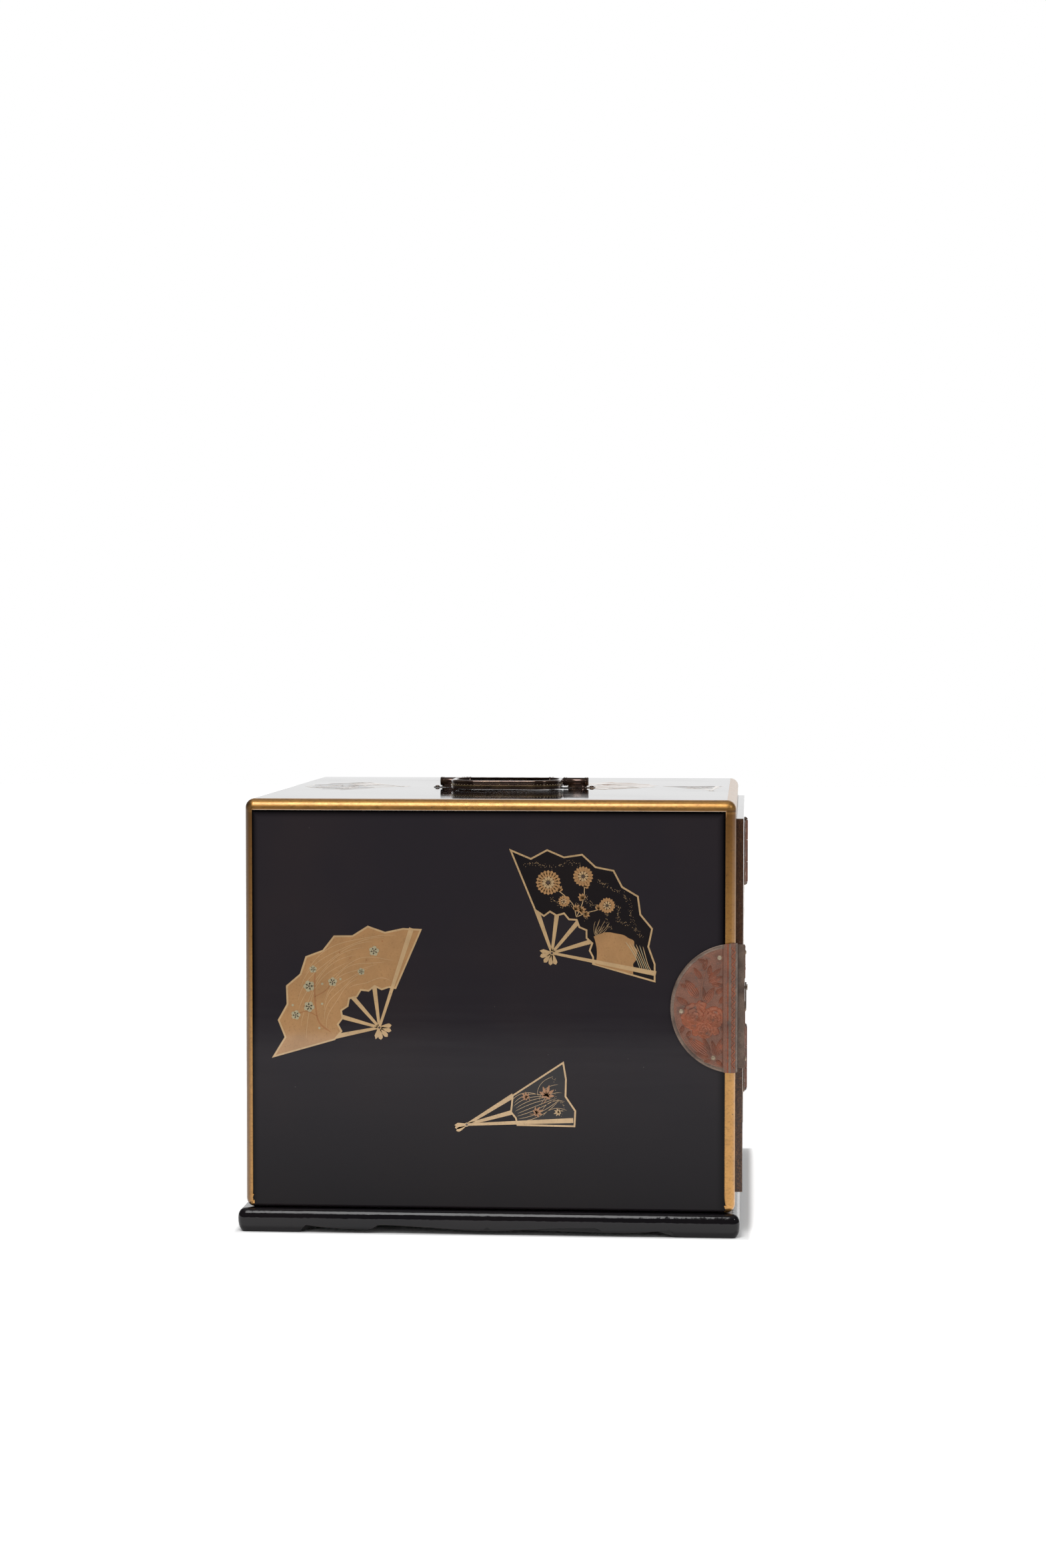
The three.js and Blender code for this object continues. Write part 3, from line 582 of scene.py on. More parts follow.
def drawn_out(bm, faces):
    """Extrudes a patch of a closed shell and gives the vertices of its new place."""
    grown = bmesh.ops.extrude_face_region(bm, geom=faces)["geom"]
    bmesh.ops.delete(bm, geom=faces, context="FACES")
    return [g for g in grown if isinstance(g, bmesh.types.BMVert)]


def sink_side_panel(bm, side):
    """Sinks the field inside the rim of one side; it runs out open at the foot."""
    face_x = side * case_high.x
    sunk_x = side * (case_high.x - panel_sunk)
    low = Vector((min(face_x, sunk_x), case_low.y + panel_front, case_low.z))
    high = Vector((max(face_x, sunk_x), case_high.y - panel_back, case_high.z - panel_top))
    field = [f for f in bm.faces if inside(f.calc_center_median(), low, high)
             and f.normal.x * side > 0.5]
    for vert in drawn_out(bm, field):
        vert.co.x = sunk_x
    for vert in bm.verts:
        if abs(vert.co.x) > case_high.x - panel_sunk - slack and vert.co.x * side > 0:
            low_down = clamp((case_low.z + taper_high - vert.co.z) / taper_high) ** 2
            if abs(vert.co.y - (case_low.y + panel_front)) < slack:
                vert.co.y -= taper_in * low_down
            elif abs(vert.co.y - (case_high.y - panel_back)) < slack:
                vert.co.y += taper_in * low_down


def gilded(point):
    """Gold lies on the front rim, on the rim round each side panel, and on the rounding beside it."""
    in_mouth = inside(point, opening_low - Vector((0, 1, 0)), opening_high, beyond=-slack)
    if point.y < case_low.y + edge_round - slack and not in_mouth:
        return True
    if abs(point.x) < case_high.x - edge_round + slack or in_mouth:
        return False
    beside = point.y < case_low.y + panel_front + slack or point.y > case_high.y - panel_back - slack
    above = point.z > case_high.z - panel_top - slack
    field = abs(point.x) < case_high.x - panel_sunk + slack and not above and not beside
    return (beside or above) and not field


def case_look(face):
    """Which lacquer or gold a face of the case has; the lower edge of the top panel ledge gets a pale
    painted highlight.
    """
    middle = face.calc_center_median()
    ledge = inside(face.normal, (-0.95, -0.1, -0.98), (0.95, 0.1, -0.2))
    if ledge and abs(middle.x) > case_high.x - panel_sunk and middle.z > opening_high.z:
        return LIT_EDGE
    if gilded(middle):
        return GOLD
    if abs(face.normal.x) > 0.9 and abs(middle.x) > opening_high.x:
        return PANEL
    return TOP if middle.z > case_high.z - edge_round else CASE


def case_shell():
    bm = rounded_box(case_low, case_high, edge_round, 8)
    for side in (-1, 1):
        cut_across(bm, 0, side * (case_high.x - panel_sunk))
    cut_across(bm, 1, case_low.y + panel_front)
    cut_across(bm, 1, case_high.y - panel_back)
    cut_across(bm, 2, case_high.z - panel_top)
    for share in (0.15, 0.3, 0.5, 0.7, 1.0):
        cut_across(bm, 2, case_low.z + taper_high * share)
    for corner in (opening_low, opening_high):
        cut_across(bm, 0, corner.x)
        cut_across(bm, 2, corner.z)
    bm.normal_update()

    mouth_low = Vector((opening_low.x, case_low.y, opening_low.z))
    mouth_high = Vector((opening_high.x, case_low.y, opening_high.z))
    mouth = [f for f in bm.faces if inside(f.calc_center_median(), mouth_low, mouth_high)]
    for vert in drawn_out(bm, mouth):
        vert.co.y = opening_high.y
    for side in (-1, 1):
        sink_side_panel(bm, side)
    welded(bm)
    bm.normal_update()

    ledges = []
    for edge in bm.edges:
        if len(edge.link_faces) != 2 or edge.calc_face_angle() < radians(60):
            continue
        if all(abs(v.co.x) > case_high.x - panel_sunk + slack for v in edge.verts):
            ledges.append(edge)
        if all(abs(v.co.y - case_low.y) < slack for v in edge.verts):
            ledges.append(edge)
    bevelled(bm, ledges, ledge_round, 3)
    bmesh.ops.recalc_face_normals(bm, faces=bm.faces)
    for face in bm.faces:
        face.material_index = case_look(face)
    boards = ("top_board", "bottom_board", "left_side", "right_side", "back_board")
    weighted(finished("case_shell", bm, "case", case_looks, boards,
                      weld=False, keep=True))


# Plinth: a swelling rail on each side, its apron cut in cusps between the feet
rail_wide = 16.0
rail_foot_ease = 2.6
rail_top_ease = 4.2
belly_height = 8.6
plinth_corner = 5 * mm
foot_long = 37.5
foot_rise = 4.9
foot_slope = 5.3
apron_low = 2.5
lobe_in = 35.9
lobe_wide = 8.2
apron_step = 6.1
apron_high = 5.5
notch_high = 5.1
notch_half = 6.5


def smooth_step(t):
    t = clamp(t)
    return t * t * (3 - 2 * t)


def apron_height(along, half):
    """Height of the apron's lower edge, at a distance from the middle of a rail."""
    x = abs(along)
    foot = half - foot_long
    lobe = foot - lobe_in
    step_from = lobe - lobe_wide
    step_to = step_from - apron_step
    if x >= foot:
        return 0.0
    if x >= foot - foot_slope:
        return foot_rise * smooth_step((foot - x) / foot_slope)
    if x >= lobe:
        t = (foot - foot_slope - x) / (foot - foot_slope - lobe)
        return apron_low + (foot_rise - apron_low) * (1 - t) ** 2
    if x >= step_from:
        return apron_low
    if x >= step_to:
        return apron_low + (apron_high - apron_low) * smooth_step((step_from - x) / apron_step)
    if x >= notch_half:
        t = (x - notch_half) / (step_to - notch_half)
        return apron_low + (apron_high - apron_low) * sin(t * pi / 2)
    return apron_low + (notch_high - apron_low) * (1 - x / notch_half) ** 2


def rail_inset(z, top):
    """How far the swelling outer face lies inside its widest line, at a height."""
    if z < belly_height:
        t = 1 - z / belly_height
        return rail_foot_ease * t ** 3
    t = (z - belly_height) / (top - belly_height)
    return rail_top_ease * (1 - dome(t))


def rounded_corner(point, half_x, half_y, middle_y):
    """Moves a point near a vertical corner of the plinth onto a rounded one."""
    across = abs(point.x) - (half_x - plinth_corner)
    along = abs(point.y - middle_y) - (half_y - plinth_corner)
    if across <= 0 or along <= 0:
        return
    reach = max(across, along)
    turn = Vector((across, along)).normalized() * reach
    point.x = copysign(half_x - plinth_corner + turn.x, point.x)
    point.y = middle_y + copysign(half_y - plinth_corner + turn.y, point.y - middle_y)


def plinth_rail(node, out, half, corners):
    """One rail, in its own frame: x along it, y outward from the widest line, z up."""
    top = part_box(node)[1].z / mm
    levels = 28
    stations = 180
    crowding = 1.4

    def place(u, v):
        s = 2 * u - 1
        s = copysign(half * (1 - (1 - abs(s)) ** crowding), s)
        edge = clamp(apron_height(s, half), 0.0, top)
        outer = v < 0.5
        t = 2 * v if outer else 2 * (1 - v)
        t = 0.5 - 0.5 * cos(pi * t)
        z = edge + (top - edge) * t
        inset = rail_inset(z, top)
        y = -inset if outer else -rail_wide + inset
        limit = half + y
        return Vector((clamp(s, -limit, limit), y, z))

    bm = bmesh.new()
    sheet(bm, stations, levels, place)
    capped(bm)
    bm.transform(out)
    for vert in bm.verts:
        rounded_corner(vert.co, *corners)
    finished(node + "_finish", bm, "case", [plinth_lacquer], (node,), sharp=50)


def add_plinth():
    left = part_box("plinth_left")
    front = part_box("plinth_front")
    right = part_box("plinth_right")[1].x
    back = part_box("plinth_back")[1].y
    half_deep = (back - front[0].y) / 2 / mm
    half_wide = right / mm
    middle = (back + front[0].y) / 2
    corners = (right, half_deep * mm, middle)
    rails = (("plinth_left", (left[0].x, middle, 0), (0, -1, 0), (-1, 0, 0), half_deep),
             ("plinth_right", (right, middle, 0), (0, 1, 0), (1, 0, 0), half_deep),
             ("plinth_front", (0, front[0].y, 0), (1, 0, 0), (0, -1, 0), half_wide),
             ("plinth_back", (0, back, 0), (-1, 0, 0), (0, 1, 0), half_wide))
    for node, origin, along, out, half in rails:
        plinth_rail(node, laid_on(origin, along, out) @ flip_z, half, corners)


# Folding fans, drawn on a face in millimetres from the pivot
fold_near = 1.1
fold_far = 2.0
first_end_rise = 1.8
last_end_rise = 4.4
fan_line = 1.0
fan_step = 0.06
leaf_line = 0.16
leaf_ground = 0.10
rib_out = 0.07
rib_under = 5
guard_out = 0.24
rib_root = 1.5
rib_end = 3.0
tail_long = 7.6
tail_wide = 2.7
pivot_round = 1.2

# The rivet in a fan's pivot, from outside in: radius, height, look and sides
pivot_heads = ((1.25, 0.28, LINE, 16), (0.75, 0.34, SEPIA, 12))


def polar(angle, radius):
    turn = radians(angle)
    return Vector((cos(turn) * radius, sin(turn) * radius, 0))


def fan_leaf(bm, start, end, folds, inner, outer, ends, ground):
    """The pleated leaf: both edges zigzag, its two end corners run a little longer, a line all round."""
    def place(u, v):
        fold = round(u * folds)
        kink = 1 if fold % 2 else -1
        near, far = inner + kink * fold_near, outer + kink * fold_far
        radius = near + (far - near) * v
        if fold == 0:
            radius = inner + first_end_rise + (ends[0] - inner - first_end_rise) * v
        if fold == folds:
            radius = inner + last_end_rise + (ends[1] - inner - last_end_rise) * v
        return polar(start + (end - start) * u, radius)

    verts = sheet(bm, folds, 1, place)
    faces = faces_of(verts)
    bm.normal_update()
    for thick in (fan_line, fan_step):
        rim = bmesh.ops.inset_region(bm, faces=faces, thickness=thick, use_boundary=True,
                                     use_even_offset=True)["faces"]
        for face in rim:
            face.material_index = LINE
    for vert in bm.verts:
        vert.co.z = leaf_line
    for face in faces:
        face.material_index = ground
        for vert in face.verts:
            vert.co.z = leaf_ground


def fan_rib(bm, angle, reach, height):
    """A rib from its rounded tail behind the pivot out to the leaf, or over it for a guard."""
    def place(u, v):
        s = -tail_long + (reach + tail_long) * v
        half = (rib_root + (rib_end - rib_root) * max(s, 0) / reach) / 2
        if s < -pivot_round:
            t = (-s - pivot_round) / (tail_long - pivot_round)
            half = rib_root / 2 + (tail_wide - rib_root) / 2 * sin(pi * t * 0.62)
            half *= dome(max(t - 0.72, 0) / 0.28)
        return polar(angle, s) + polar(angle + 90, half * (2 * u - 1))
    raised(sheet(bm, 2, 34, place), height, LINE)


def add_fan(name, body, where, picture, start, end, folds, inner, outer, ends, ground, ribs, guard, over):
    bm = bmesh.new()
    fan_leaf(bm, start, end, folds, inner, outer, ends, ground)
    for angle in ribs:
        fan_rib(bm, angle, inner + rib_under, rib_out)
    fan_rib(bm, guard, over, guard_out)
    for head in pivot_heads:
        disc(bm, (0, 0), *head)
    picture(bm)
    inlaid(name, bm, body, where, inlays)


# Pictures on the fans: plain seasonal motifs, each a little above the leaf
low_relief = 0.15
mid_relief = 0.2
high_relief = 0.26


def curve(*points):
    """A smooth path through a few points, as a function of t from 0 to 1."""
    points = [Vector(p).to_2d() for p in points]
    count = len(points) - 1

    def path(t):
        k = min(int(t * count), count - 1)
        t = t * count - k
        a, b = points[max(k - 1, 0)], points[k]
        c, d = points[k + 1], points[min(k + 2, count)]
        return (b * 2 + (c - a) * t + (a * 2 - b * 5 + c * 4 - d) * t ** 2
                + (b * 3 - a - c * 3 + d) * t ** 3) / 2
    return path


def blossom(bm, at, radius, index, turn=0.0):
    """Plum blossom from the front: five round petals, stamens and an eye."""
    for k in range(5):
        petal = at + polar(turn + 72 * k, radius * 0.56)
        disc(bm, petal, radius * 0.42, mid_relief, index, 14)
    for k in range(10):
        stamen = at + polar(turn + 18 + 36 * k, radius * (0.4 if k % 2 else 0.5))
        disc(bm, stamen, radius * 0.055, high_relief, SEPIA, 6)
    disc(bm, at, radius * 0.14, high_relief, SEPIA, 8)


def chrysanthemum(bm, at, radius, index, petals, turn):
    """Two rows of narrow petals round a small eye."""
    for k in range(petals):
        angle = turn + 360 / petals * k
        root = at + polar(angle, radius * 0.4)
        blade(bm, root, at + polar(angle, radius), radius * 0.32, mid_relief, index, steps=7, belly=0.6)
    for k in range(petals // 2):
        angle = turn + 12 + 720 / petals * k
        root = at + polar(angle, radius * 0.14)
        tip = at + polar(angle, radius * 0.52)
        blade(bm, root, tip, radius * 0.22, high_relief, LINE, steps=6, belly=0.6)
    disc(bm, at, radius * 0.13, high_relief + 0.02, SEPIA, 8)


def lobed_leaf(bm, at, angle, size, index):
    for spread, long in ((-62, 0.62), (-28, 0.85), (0, 1.0), (28, 0.85), (62, 0.62)):
        tip = at + polar(angle + spread, size * long)
        blade(bm, at, tip, size * 0.34, low_relief, index, steps=7, belly=0.55)


def maple_leaf(bm, at, radius, index, turn):
    for spread, long in ((-120, 0.5), (-76, 0.78), (-36, 0.95), (0, 1.08), (36, 0.95), (76, 0.78),
                         (120, 0.5)):
        tip = at + polar(turn + spread, radius * long)
        blade(bm, at, tip, radius * 0.3, mid_relief, index, steps=8, belly=0.42)
    stalk = curve(at, at - polar(turn + 12, radius * 0.4), at - polar(turn - 8, radius * 0.85))
    ribbon(bm, stalk, 0.34, high_relief, index, 6)


def grass(bm, root, angle, long, bend, index, width=0.28):
    def path(t):
        return (root + polar(angle + bend * t, long * t)).xy
    ribbon(bm, path, width, low_relief, index, 10)


def twig(bm, points, width, index, leaves=0, size=3.0, leaf_index=None):
    """A bending stem through points given by angle and radius, with leaves set on alternate sides."""
    path = curve(*[polar(angle, radius) for angle, radius in points])
    ribbon(bm, path, width, low_relief, index, 20)
    for k in range(leaves):
        t = (k + 0.7) / (leaves + 0.4)
        here = path(t)
        ahead = path(min(t + 0.02, 1.0)) - here
        angle = degrees(atan2(ahead.y, ahead.x))
        lean = 48 if k % 2 else -48
        lobed_leaf(bm, here.to_3d(), angle + lean, size, index if leaf_index is None else leaf_index)


def mist(bm, seed, start, end, radius, count, index=LINE, spread=1.6, sway=2.0):
    """A drifting band of fine gold dots that follows the sweep of the leaf."""
    chance = random.Random(seed)
    for _ in range(count):
        t = chance.random()
        drift = sway * sin(t * 9 + seed) + chance.choice((-1, 1)) * spread * chance.random() ** 2
        at = polar(start + (end - start) * t, radius + drift)
        disc(bm, at, chance.uniform(0.11, 0.2), low_relief, index, 5)


def hill(bm, start, end, near, far, index, height):
    """A bank of gold along the inner edge of the leaf, with a rolling outline that falls away at one end."""
    def place(u, v):
        crest = (near + (far - near) * min(1.0, 0.28 + 2.1 * u)
                 + 0.9 * sin(u * 13) + 0.4 * sin(u * 37))
        return polar(start + (end - start) * u, near + (crest - near) * v)
    raised(sheet(bm, 36, 2, place), height, index)


def stream_picture(bm):
    """Gold ground: drifting water lines and a plum branch with silver blossom."""
    for k in range(13):
        base = 29.5 + k * 2.25
        begin, finish = 76 + (k * 37) % 44, 128 + (k * 53) % 62

        def path(t, base=base, begin=begin, finish=finish, k=k):
            return polar(begin + (finish - begin) * t, base + 1.0 * sin(8 * t + 0.7 * k)).xy
        ribbon(bm, path, 0.24, low_relief - 0.02, LINE, 30)
    twig(bm, ((186, 30), (176, 37), (163, 41), (148, 47), (138, 53)), 1.0, RUSSET)
    twig(bm, ((170, 39), (168, 46), (172, 52)), 0.6, RUSSET)
    twig(bm, ((155, 44), (146, 40), (136, 40)), 0.6, RUSSET)
    for angle, radius, size in ((172, 52, 3.0), (164, 45, 3.4), (150, 50, 3.6), (139, 54, 2.4),
                                (136, 40, 2.9)):
        blossom(bm, polar(angle, radius), size, SILVER, angle * 1.7)
    for angle, radius in ((181, 37), (158, 38), (143, 44), (166, 55), (129, 38)):
        disc(bm, polar(angle, radius), 0.75, mid_relief, SILVER, 10)
    blossom(bm, polar(94, 47), 3.2, SILVER, 10)
    blossom(bm, polar(108, 36), 2.3, SILVER, 30)
    for angle, radius in ((88, 53), (101, 42), (113, 46), (118, 52)):
        disc(bm, polar(angle, radius), 0.55, mid_relief, RUSSET, 8)


def garden_picture(bm):
    """Black ground: a spray of chrysanthemums over mist, grasses and a bank of gold."""
    for band in ((1, 108, 66, 54.5, 110), (2, 92, 44, 31.5, 90), (3, 60, 22, 40, 120),
                 (4, 58, 10, 54.5, 130), (5, 42, 20, 47, 80)):
        mist(bm, *band)
    root = (56, 26.5)
    twig(bm, (root, (66, 32), (78, 36), (90, 41)), 0.5, LINE, 3, 4.2, GROUND)
    twig(bm, (root, (58, 34), (62, 42), (67, 49)), 0.5, LINE, 3, 4.4, GROUND)
    twig(bm, (root, (50, 32), (44, 38), (42, 43)), 0.45, LINE, 2, 3.8, GROUND)
    for angle, radius, size, petals, turn in ((93, 43, 7.6, 20, 0), (68, 50.5, 6.2, 18, 9),
                                              (41, 44.5, 4.9, 16, 5), (77, 32.5, 3.6, 14, 3)):
        chrysanthemum(bm, polar(angle, radius), size, GROUND, petals, turn)
    hill(bm, 22, -14.2, 27.4, 51, GROUND, mid_relief)
    for k in range(11):
        grass(bm, polar(20 + k % 4, 28.5), 4 + k * 11, 6.5 + k % 3 * 2.4, 26 - k * 5, LINE, 0.2)
    for k in range(6):
        near = polar(9 - 0.9 * k, 45.5 + 2.0 * k)
        middle = polar(-1.4 - 0.9 * k, 50.5 + 1.6 * k)
        far = polar(-9.8, 54.5 + 1.35 * k)
        ribbon(bm, curve(near, middle, far), 0.42, high_relief, LINE if k % 2 else SILVER, 10)


def maple_picture(bm):
    """Black ground: maple leaves blown over bending grasses."""
    for k in range(9):
        grass(bm, polar(4 + 3 * k, 31 + k % 2), 2 + 7 * k, 29 - 1.4 * k, 26 - 9 * k, LINE, 0.24)
    for k in range(5):
        grass(bm, polar(7 + 4 * k, 47), 60 + 9 * k, 15, -46, LINE, 0.2)
    for angle, radius, size, index, turn in ((20.5, 52, 6.4, RUSSET, 75), (10.5, 43, 4.6, RUSSET, 20),
                                             (25, 40.5, 3.8, RUSSET, 140), (8.5, 57, 3.2, LINE, 200)):
        maple_leaf(bm, polar(angle, radius), size, index, turn)
    mist(bm, 12, 5, 30, 58.5, 40)


def reed_picture(bm):
    """Gold ground: bending reeds, a few blossoms and fine water lines."""
    for k in range(10):
        def path(t, k=k):
            return polar(80 + 96 * t, 30 + k * 2.9 + sin(7 * t + k)).xy
        ribbon(bm, path, 0.26, low_relief, LINE, 26)
    for k in range(9):
        grass(bm, polar(150 + 3 * k, 28), 96 + 9 * k, 24 - k, 24 - 6 * k, RUSSET, 0.4)
    for angle, radius, size in ((118, 46, 4.2), (96, 40, 3.2), (104, 54, 2.8), (138, 37, 2.6)):
        blossom(bm, polar(angle, radius), size, SILVER, angle)
    maple_leaf(bm, polar(84, 50), 3.8, RUSSET, 40)


fan_kinds = {
    "gold": dict(start=66.6, end=196.2, folds=13, inner=24.0, outer=60.8, ends=(66.0, 69.1), ground=GROUND,
                 ribs=(97, 131.5, 164.6, 192), guard=72.0, over=64.2),
    "garden": dict(start=-15.5, end=112.4, folds=13, inner=23.6, outer=61.3, ends=(65.4, 68.6), ground=BLACK,
                   ribs=(16.9, 50.2, 82.7, 109.6), guard=-10.8, over=64.4),
    "maple": dict(start=-0.7, end=33.6, folds=4, inner=28.8, outer=65.5, ends=(66.4, 71.2), ground=BLACK,
                  ribs=(15.8, 32.4), guard=2.9, over=65.2),
}

# Faces that carry fans: the body, a point in the face, the directions across it and up it
fan_faces = {
    "side": ("case", (case_low.x + panel_sunk, 0, 0), (0, -1, 0), (0, 0, 1)),
    "top": ("case", (0, 0, case_high.z), (0, -1, 0), (1, 0, 0)),
    "right": ("case", (case_high.x - panel_sunk, 0, 0), (0, 1, 0), (0, 0, 1)),
    "back": ("case", (0, case_high.y, 0), (-1, 0, 0), (0, 0, 1)),
    "door": ("door", (0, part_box("door")[0].y, 0), (1, 0, 0), (0, 0, 1)),
}

# Fans strewn over each face: kind, picture, pivot from the face's point in millimetres, turn in degrees.
# Those on the left side and the top lie where the photograph has them.
fans = (
    ("side", "gold", stream_picture, (0, 68.4, 126.2), 0),
    ("side", "garden", garden_picture, (0, -37.2, 172.7), 0),
    ("side", "maple", maple_picture, (0, 14.8, 67.2), 0),
    ("top", "garden", garden_picture, (13, 76, 0), 130),
    ("top", "gold", reed_picture, (30, -33, 0), -131),
    ("top", "maple", maple_picture, (-34, -132, 0), 84),
    ("right", "garden", garden_picture, (0, -52, 96), 12),
    ("right", "gold", reed_picture, (0, 74, 158), -34),
    ("right", "maple", maple_picture, (0, -84, 196), 4),
    ("back", "gold", stream_picture, (-42, 0, 118), -58),
    ("back", "maple", maple_picture, (96, 0, 92), 18),
    ("door", "garden", garden_picture, (8, 0, 150), 6),
    ("door", "gold", reed_picture, (-16, 0, 68), -8),
    ("door", "maple", maple_picture, (36, 0, 78), -4),
)


def add_fans():
    for face, kind, picture, pivot, turned_by in fans:
        body, origin, across, up = fan_faces[face]
        at = [o + p * mm for o, p in zip(origin, pivot)]
        where = laid_on(at, across, up) @ Matrix.Rotation(radians(turned_by), 4, "Z")
        if face == "top":
            where = where @ nearly_flat
        add_fan(f"fan_{face}_{kind}", body, where, picture, **fan_kinds[kind])


# Door, drawers and the inside

def add_door():
    def paint(face):
        if face.normal.y < -0.95:
            return 0
        return 2 if face.normal.z > 0.9 else 1
    looks = [black, nashiji, top_lacquer]
    eased("door", "door", looks, width=1.2, segments=4, paint=paint)
    door_ornament()


def scatter(name, body, where, spots, chance):
    """Pine needles and plum blossom by turns; a spot is its number in the row, x and y."""
    bm = bmesh.new()
    for k, x, y in spots:
        at = Vector((x, y, 0))
        if k % 2:
            blossom(bm, at, sprig_size, LINE, chance.uniform(0, 72))
        else:
            for needle in range(9):
                grass(bm, at, 40 + 12.5 * needle + 5 * k, needle_long, 0, LINE, 0.35)
    inlaid(name, bm, body, where, inlays)


def size_of(node):
    """Width and height of a node's box in millimetres."""
    low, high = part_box(node)
    return (high.x - low.x) / mm, (high.z - low.z) / mm


sprig_size = 5.0
needle_long = 8.5
drawer_sprigs = 9
drawer_stray = 6
ring_clear = 16
door_columns = 7
door_rows = 4
door_sprigs = 27
door_stray = (9, 11)
lock_clear = (75, 40)


def drawer_ornament(name, seed):
    """Gold sprigs scattered over a drawer front, clear of its ring pull."""
    front = name + "_drawer_front"
    wide, tall = size_of(front)
    chance = random.Random(seed)
    spots = []
    for k in range(drawer_sprigs):
        x = -wide / 2 + wide * (k + 0.5) / drawer_sprigs + chance.uniform(-drawer_stray, drawer_stray)
        y = chance.uniform(-0.32, 0.32) * tall
        if abs(x) > ring_clear:
            spots.append((k, x, y))
    scatter(name + "_drawer_ornament", name + "_drawer", front_of(front), spots, chance)


def door_ornament():
    """The same sprigs over the inner side of the door, clear of the lock case."""
    wide, tall = size_of("door")
    chance = random.Random(5)
    spots = []
    stray_x, stray_y = door_stray
    for k in range(door_sprigs):
        row, column = divmod(k, door_columns)
        x = wide * ((column + 0.5) / door_columns - 0.5) + chance.uniform(-stray_x, stray_x)
        y = tall * ((row + 0.5) / door_rows - 0.5) + chance.uniform(-stray_y, stray_y)
        if x < wide / 2 - lock_clear[0] or abs(y) > lock_clear[1]:
            spots.append((k, x, y))
    scatter("door_ornament", "door", back_of("door"), spots, chance)


def torus(bm, centre, ring, wire, axis, around=48, sides=14):
    """A ring of round wire; axis is the direction through its hole."""
    turn = Vector((0, 0, 1)).rotation_difference(Vector(axis)).to_matrix()

    def place(u, v):
        a, b = 2 * pi * u, 2 * pi * v
        flat = Vector((cos(a), sin(a), 0)) * (ring + wire * cos(b))
        return Vector(centre) + turn @ (flat + Vector((0, 0, wire * sin(b))))
    sheet(bm, around, sides, place)


def turned(bm, profile, centre, axis, steps=32):
    """A closed profile of (radius, along) points turned about an axis through centre."""
    axis, centre = Vector(axis), Vector(centre)
    side = axis.orthogonal().normalized()
    verts = [bm.verts.new(centre + side * r + axis * a) for r, a in profile]
    edges = [bm.edges.new((verts[i], verts[(i + 1) % len(verts)])) for i in range(len(verts))]
    bmesh.ops.spin(bm, geom=verts + edges, cent=centre, axis=axis, angle=2 * pi,
                   steps=steps, use_merge=True)


ring_stem = 1.2 * mm
ring_stem_round = 0.3 * mm
eye_wire = 0.8 * mm
eye_ring = 2.3 * mm
clench_tall = 1 * mm
rosette_petals = 12
rosette_eye = 2.3
rosette_plate = 0.78


def add_ring_pull(name):
    body = name + "_drawer"
    low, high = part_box(name + "_ring")
    wire = (high.y - low.y) / 2
    ring = (high.z - low.z) / 2 - wire
    bm = bmesh.new()
    torus(bm, (0, (low.y + high.y) / 2, (low.z + high.z) / 2), ring, wire, (0, 1, 0))
    finished(name + "_ring_finish", bm, name + "_ring", [nail_metal], (name + "_ring",))

    low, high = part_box(name + "_eye_pin")
    eye_z = (low.z + high.z) / 2
    eye_y = low.y + eye_ring + eye_wire
    reach = high.y - eye_y - eye_ring
    bm = bmesh.new()
    torus(bm, (0, eye_y, eye_z), eye_ring, eye_wire, (1, 0, 0), 28, 10)
    shank = [(0, 0), (ring_stem * 0.8, 0), (ring_stem, ring_stem_round), (ring_stem, reach), (0, reach)]
    turned(bm, shank, (0, eye_y + eye_ring, eye_z), (0, 1, 0), 16)
    clench_low = Vector((low.x, high.y - clench_tall, eye_z - ring_stem))
    clench_high = Vector((high.x, high.y, eye_z + ring_stem))
    appended(bm, rounded_box(clench_low, clench_high, ring_stem_round, 2))
    finished(name + "_eye_pin_finish", bm, body, [nail_metal], (name + "_eye_pin",))

    low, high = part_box(name + "_rosette")
    radius = (high.x - low.x) / 2 / mm
    bm = bmesh.new()
    disc(bm, (0, 0), radius * rosette_plate, 0.35, 0, 48)
    for k in range(rosette_petals):
        angle = 360 / rosette_petals * k
        blade(bm, polar(angle, 1.6), polar(angle, radius), 3.6, 0.3, 1, crown=0.4, steps=10, belly=0.66)
    disc(bm, (0, 0), rosette_eye, 0.75, 1, 24)
    where = laid_on((0, high.y, eye_z), (1, 0, 0), (0, 0, 1)) @ Matrix.Translation((0, 0, inlay_sunk))
    inlaid(name + "_rosette_finish", bm, body, where, [copper, copper_relief],
           stands_for=(name + "_rosette",))


def add_drawers():
    first_seed = 21
    for number, name in enumerate(("lower", "middle", "upper")):
        body = name + "_drawer"
        eased(body + "_front", body, [nashiji], width=0.7, segments=3)
        for board in ("left", "right", "back", "bottom"):
            eased(body + "_" + board, body, [black], width=0.4)
        drawer_ornament(name, first_seed + number)
        add_ring_pull(name)


def add_inside():
    for side in ("left", "right"):
        eased(side + "_liner", "case", [nashiji], width=0.3)
    for level in ("lower", "upper"):
        eased(level + "_shelf", "case", [nashiji], width=0.6, segments=3)


# Lock and hinges: chased copper plates
plate_radius = 39.5
side_plate_thick = 0.9
lacquer_gap = 0.1
vein_cut = 0.16

# Ridges across the wrapped rim: distance from the rim's start, half width, rise
rim_ridges = ((2.25, 0.35, -0.22), (3.4, 0.6, 0.28), (8.5, 0.55, 0.3), (11.0, 0.4, 0.2))

# Ridges along the plate's round edge: distance in from it, half width, rise
border_ridges = ((1.0, 1.0, 0.34), (2.7, 0.4, 0.12))

# Bands across the rim, by their place from the case's corner
rim_groove = (-4.95, -4.3)
rim_band = (-4.2, -2.7)
flap_from = -0.2
border_wide = 2.1

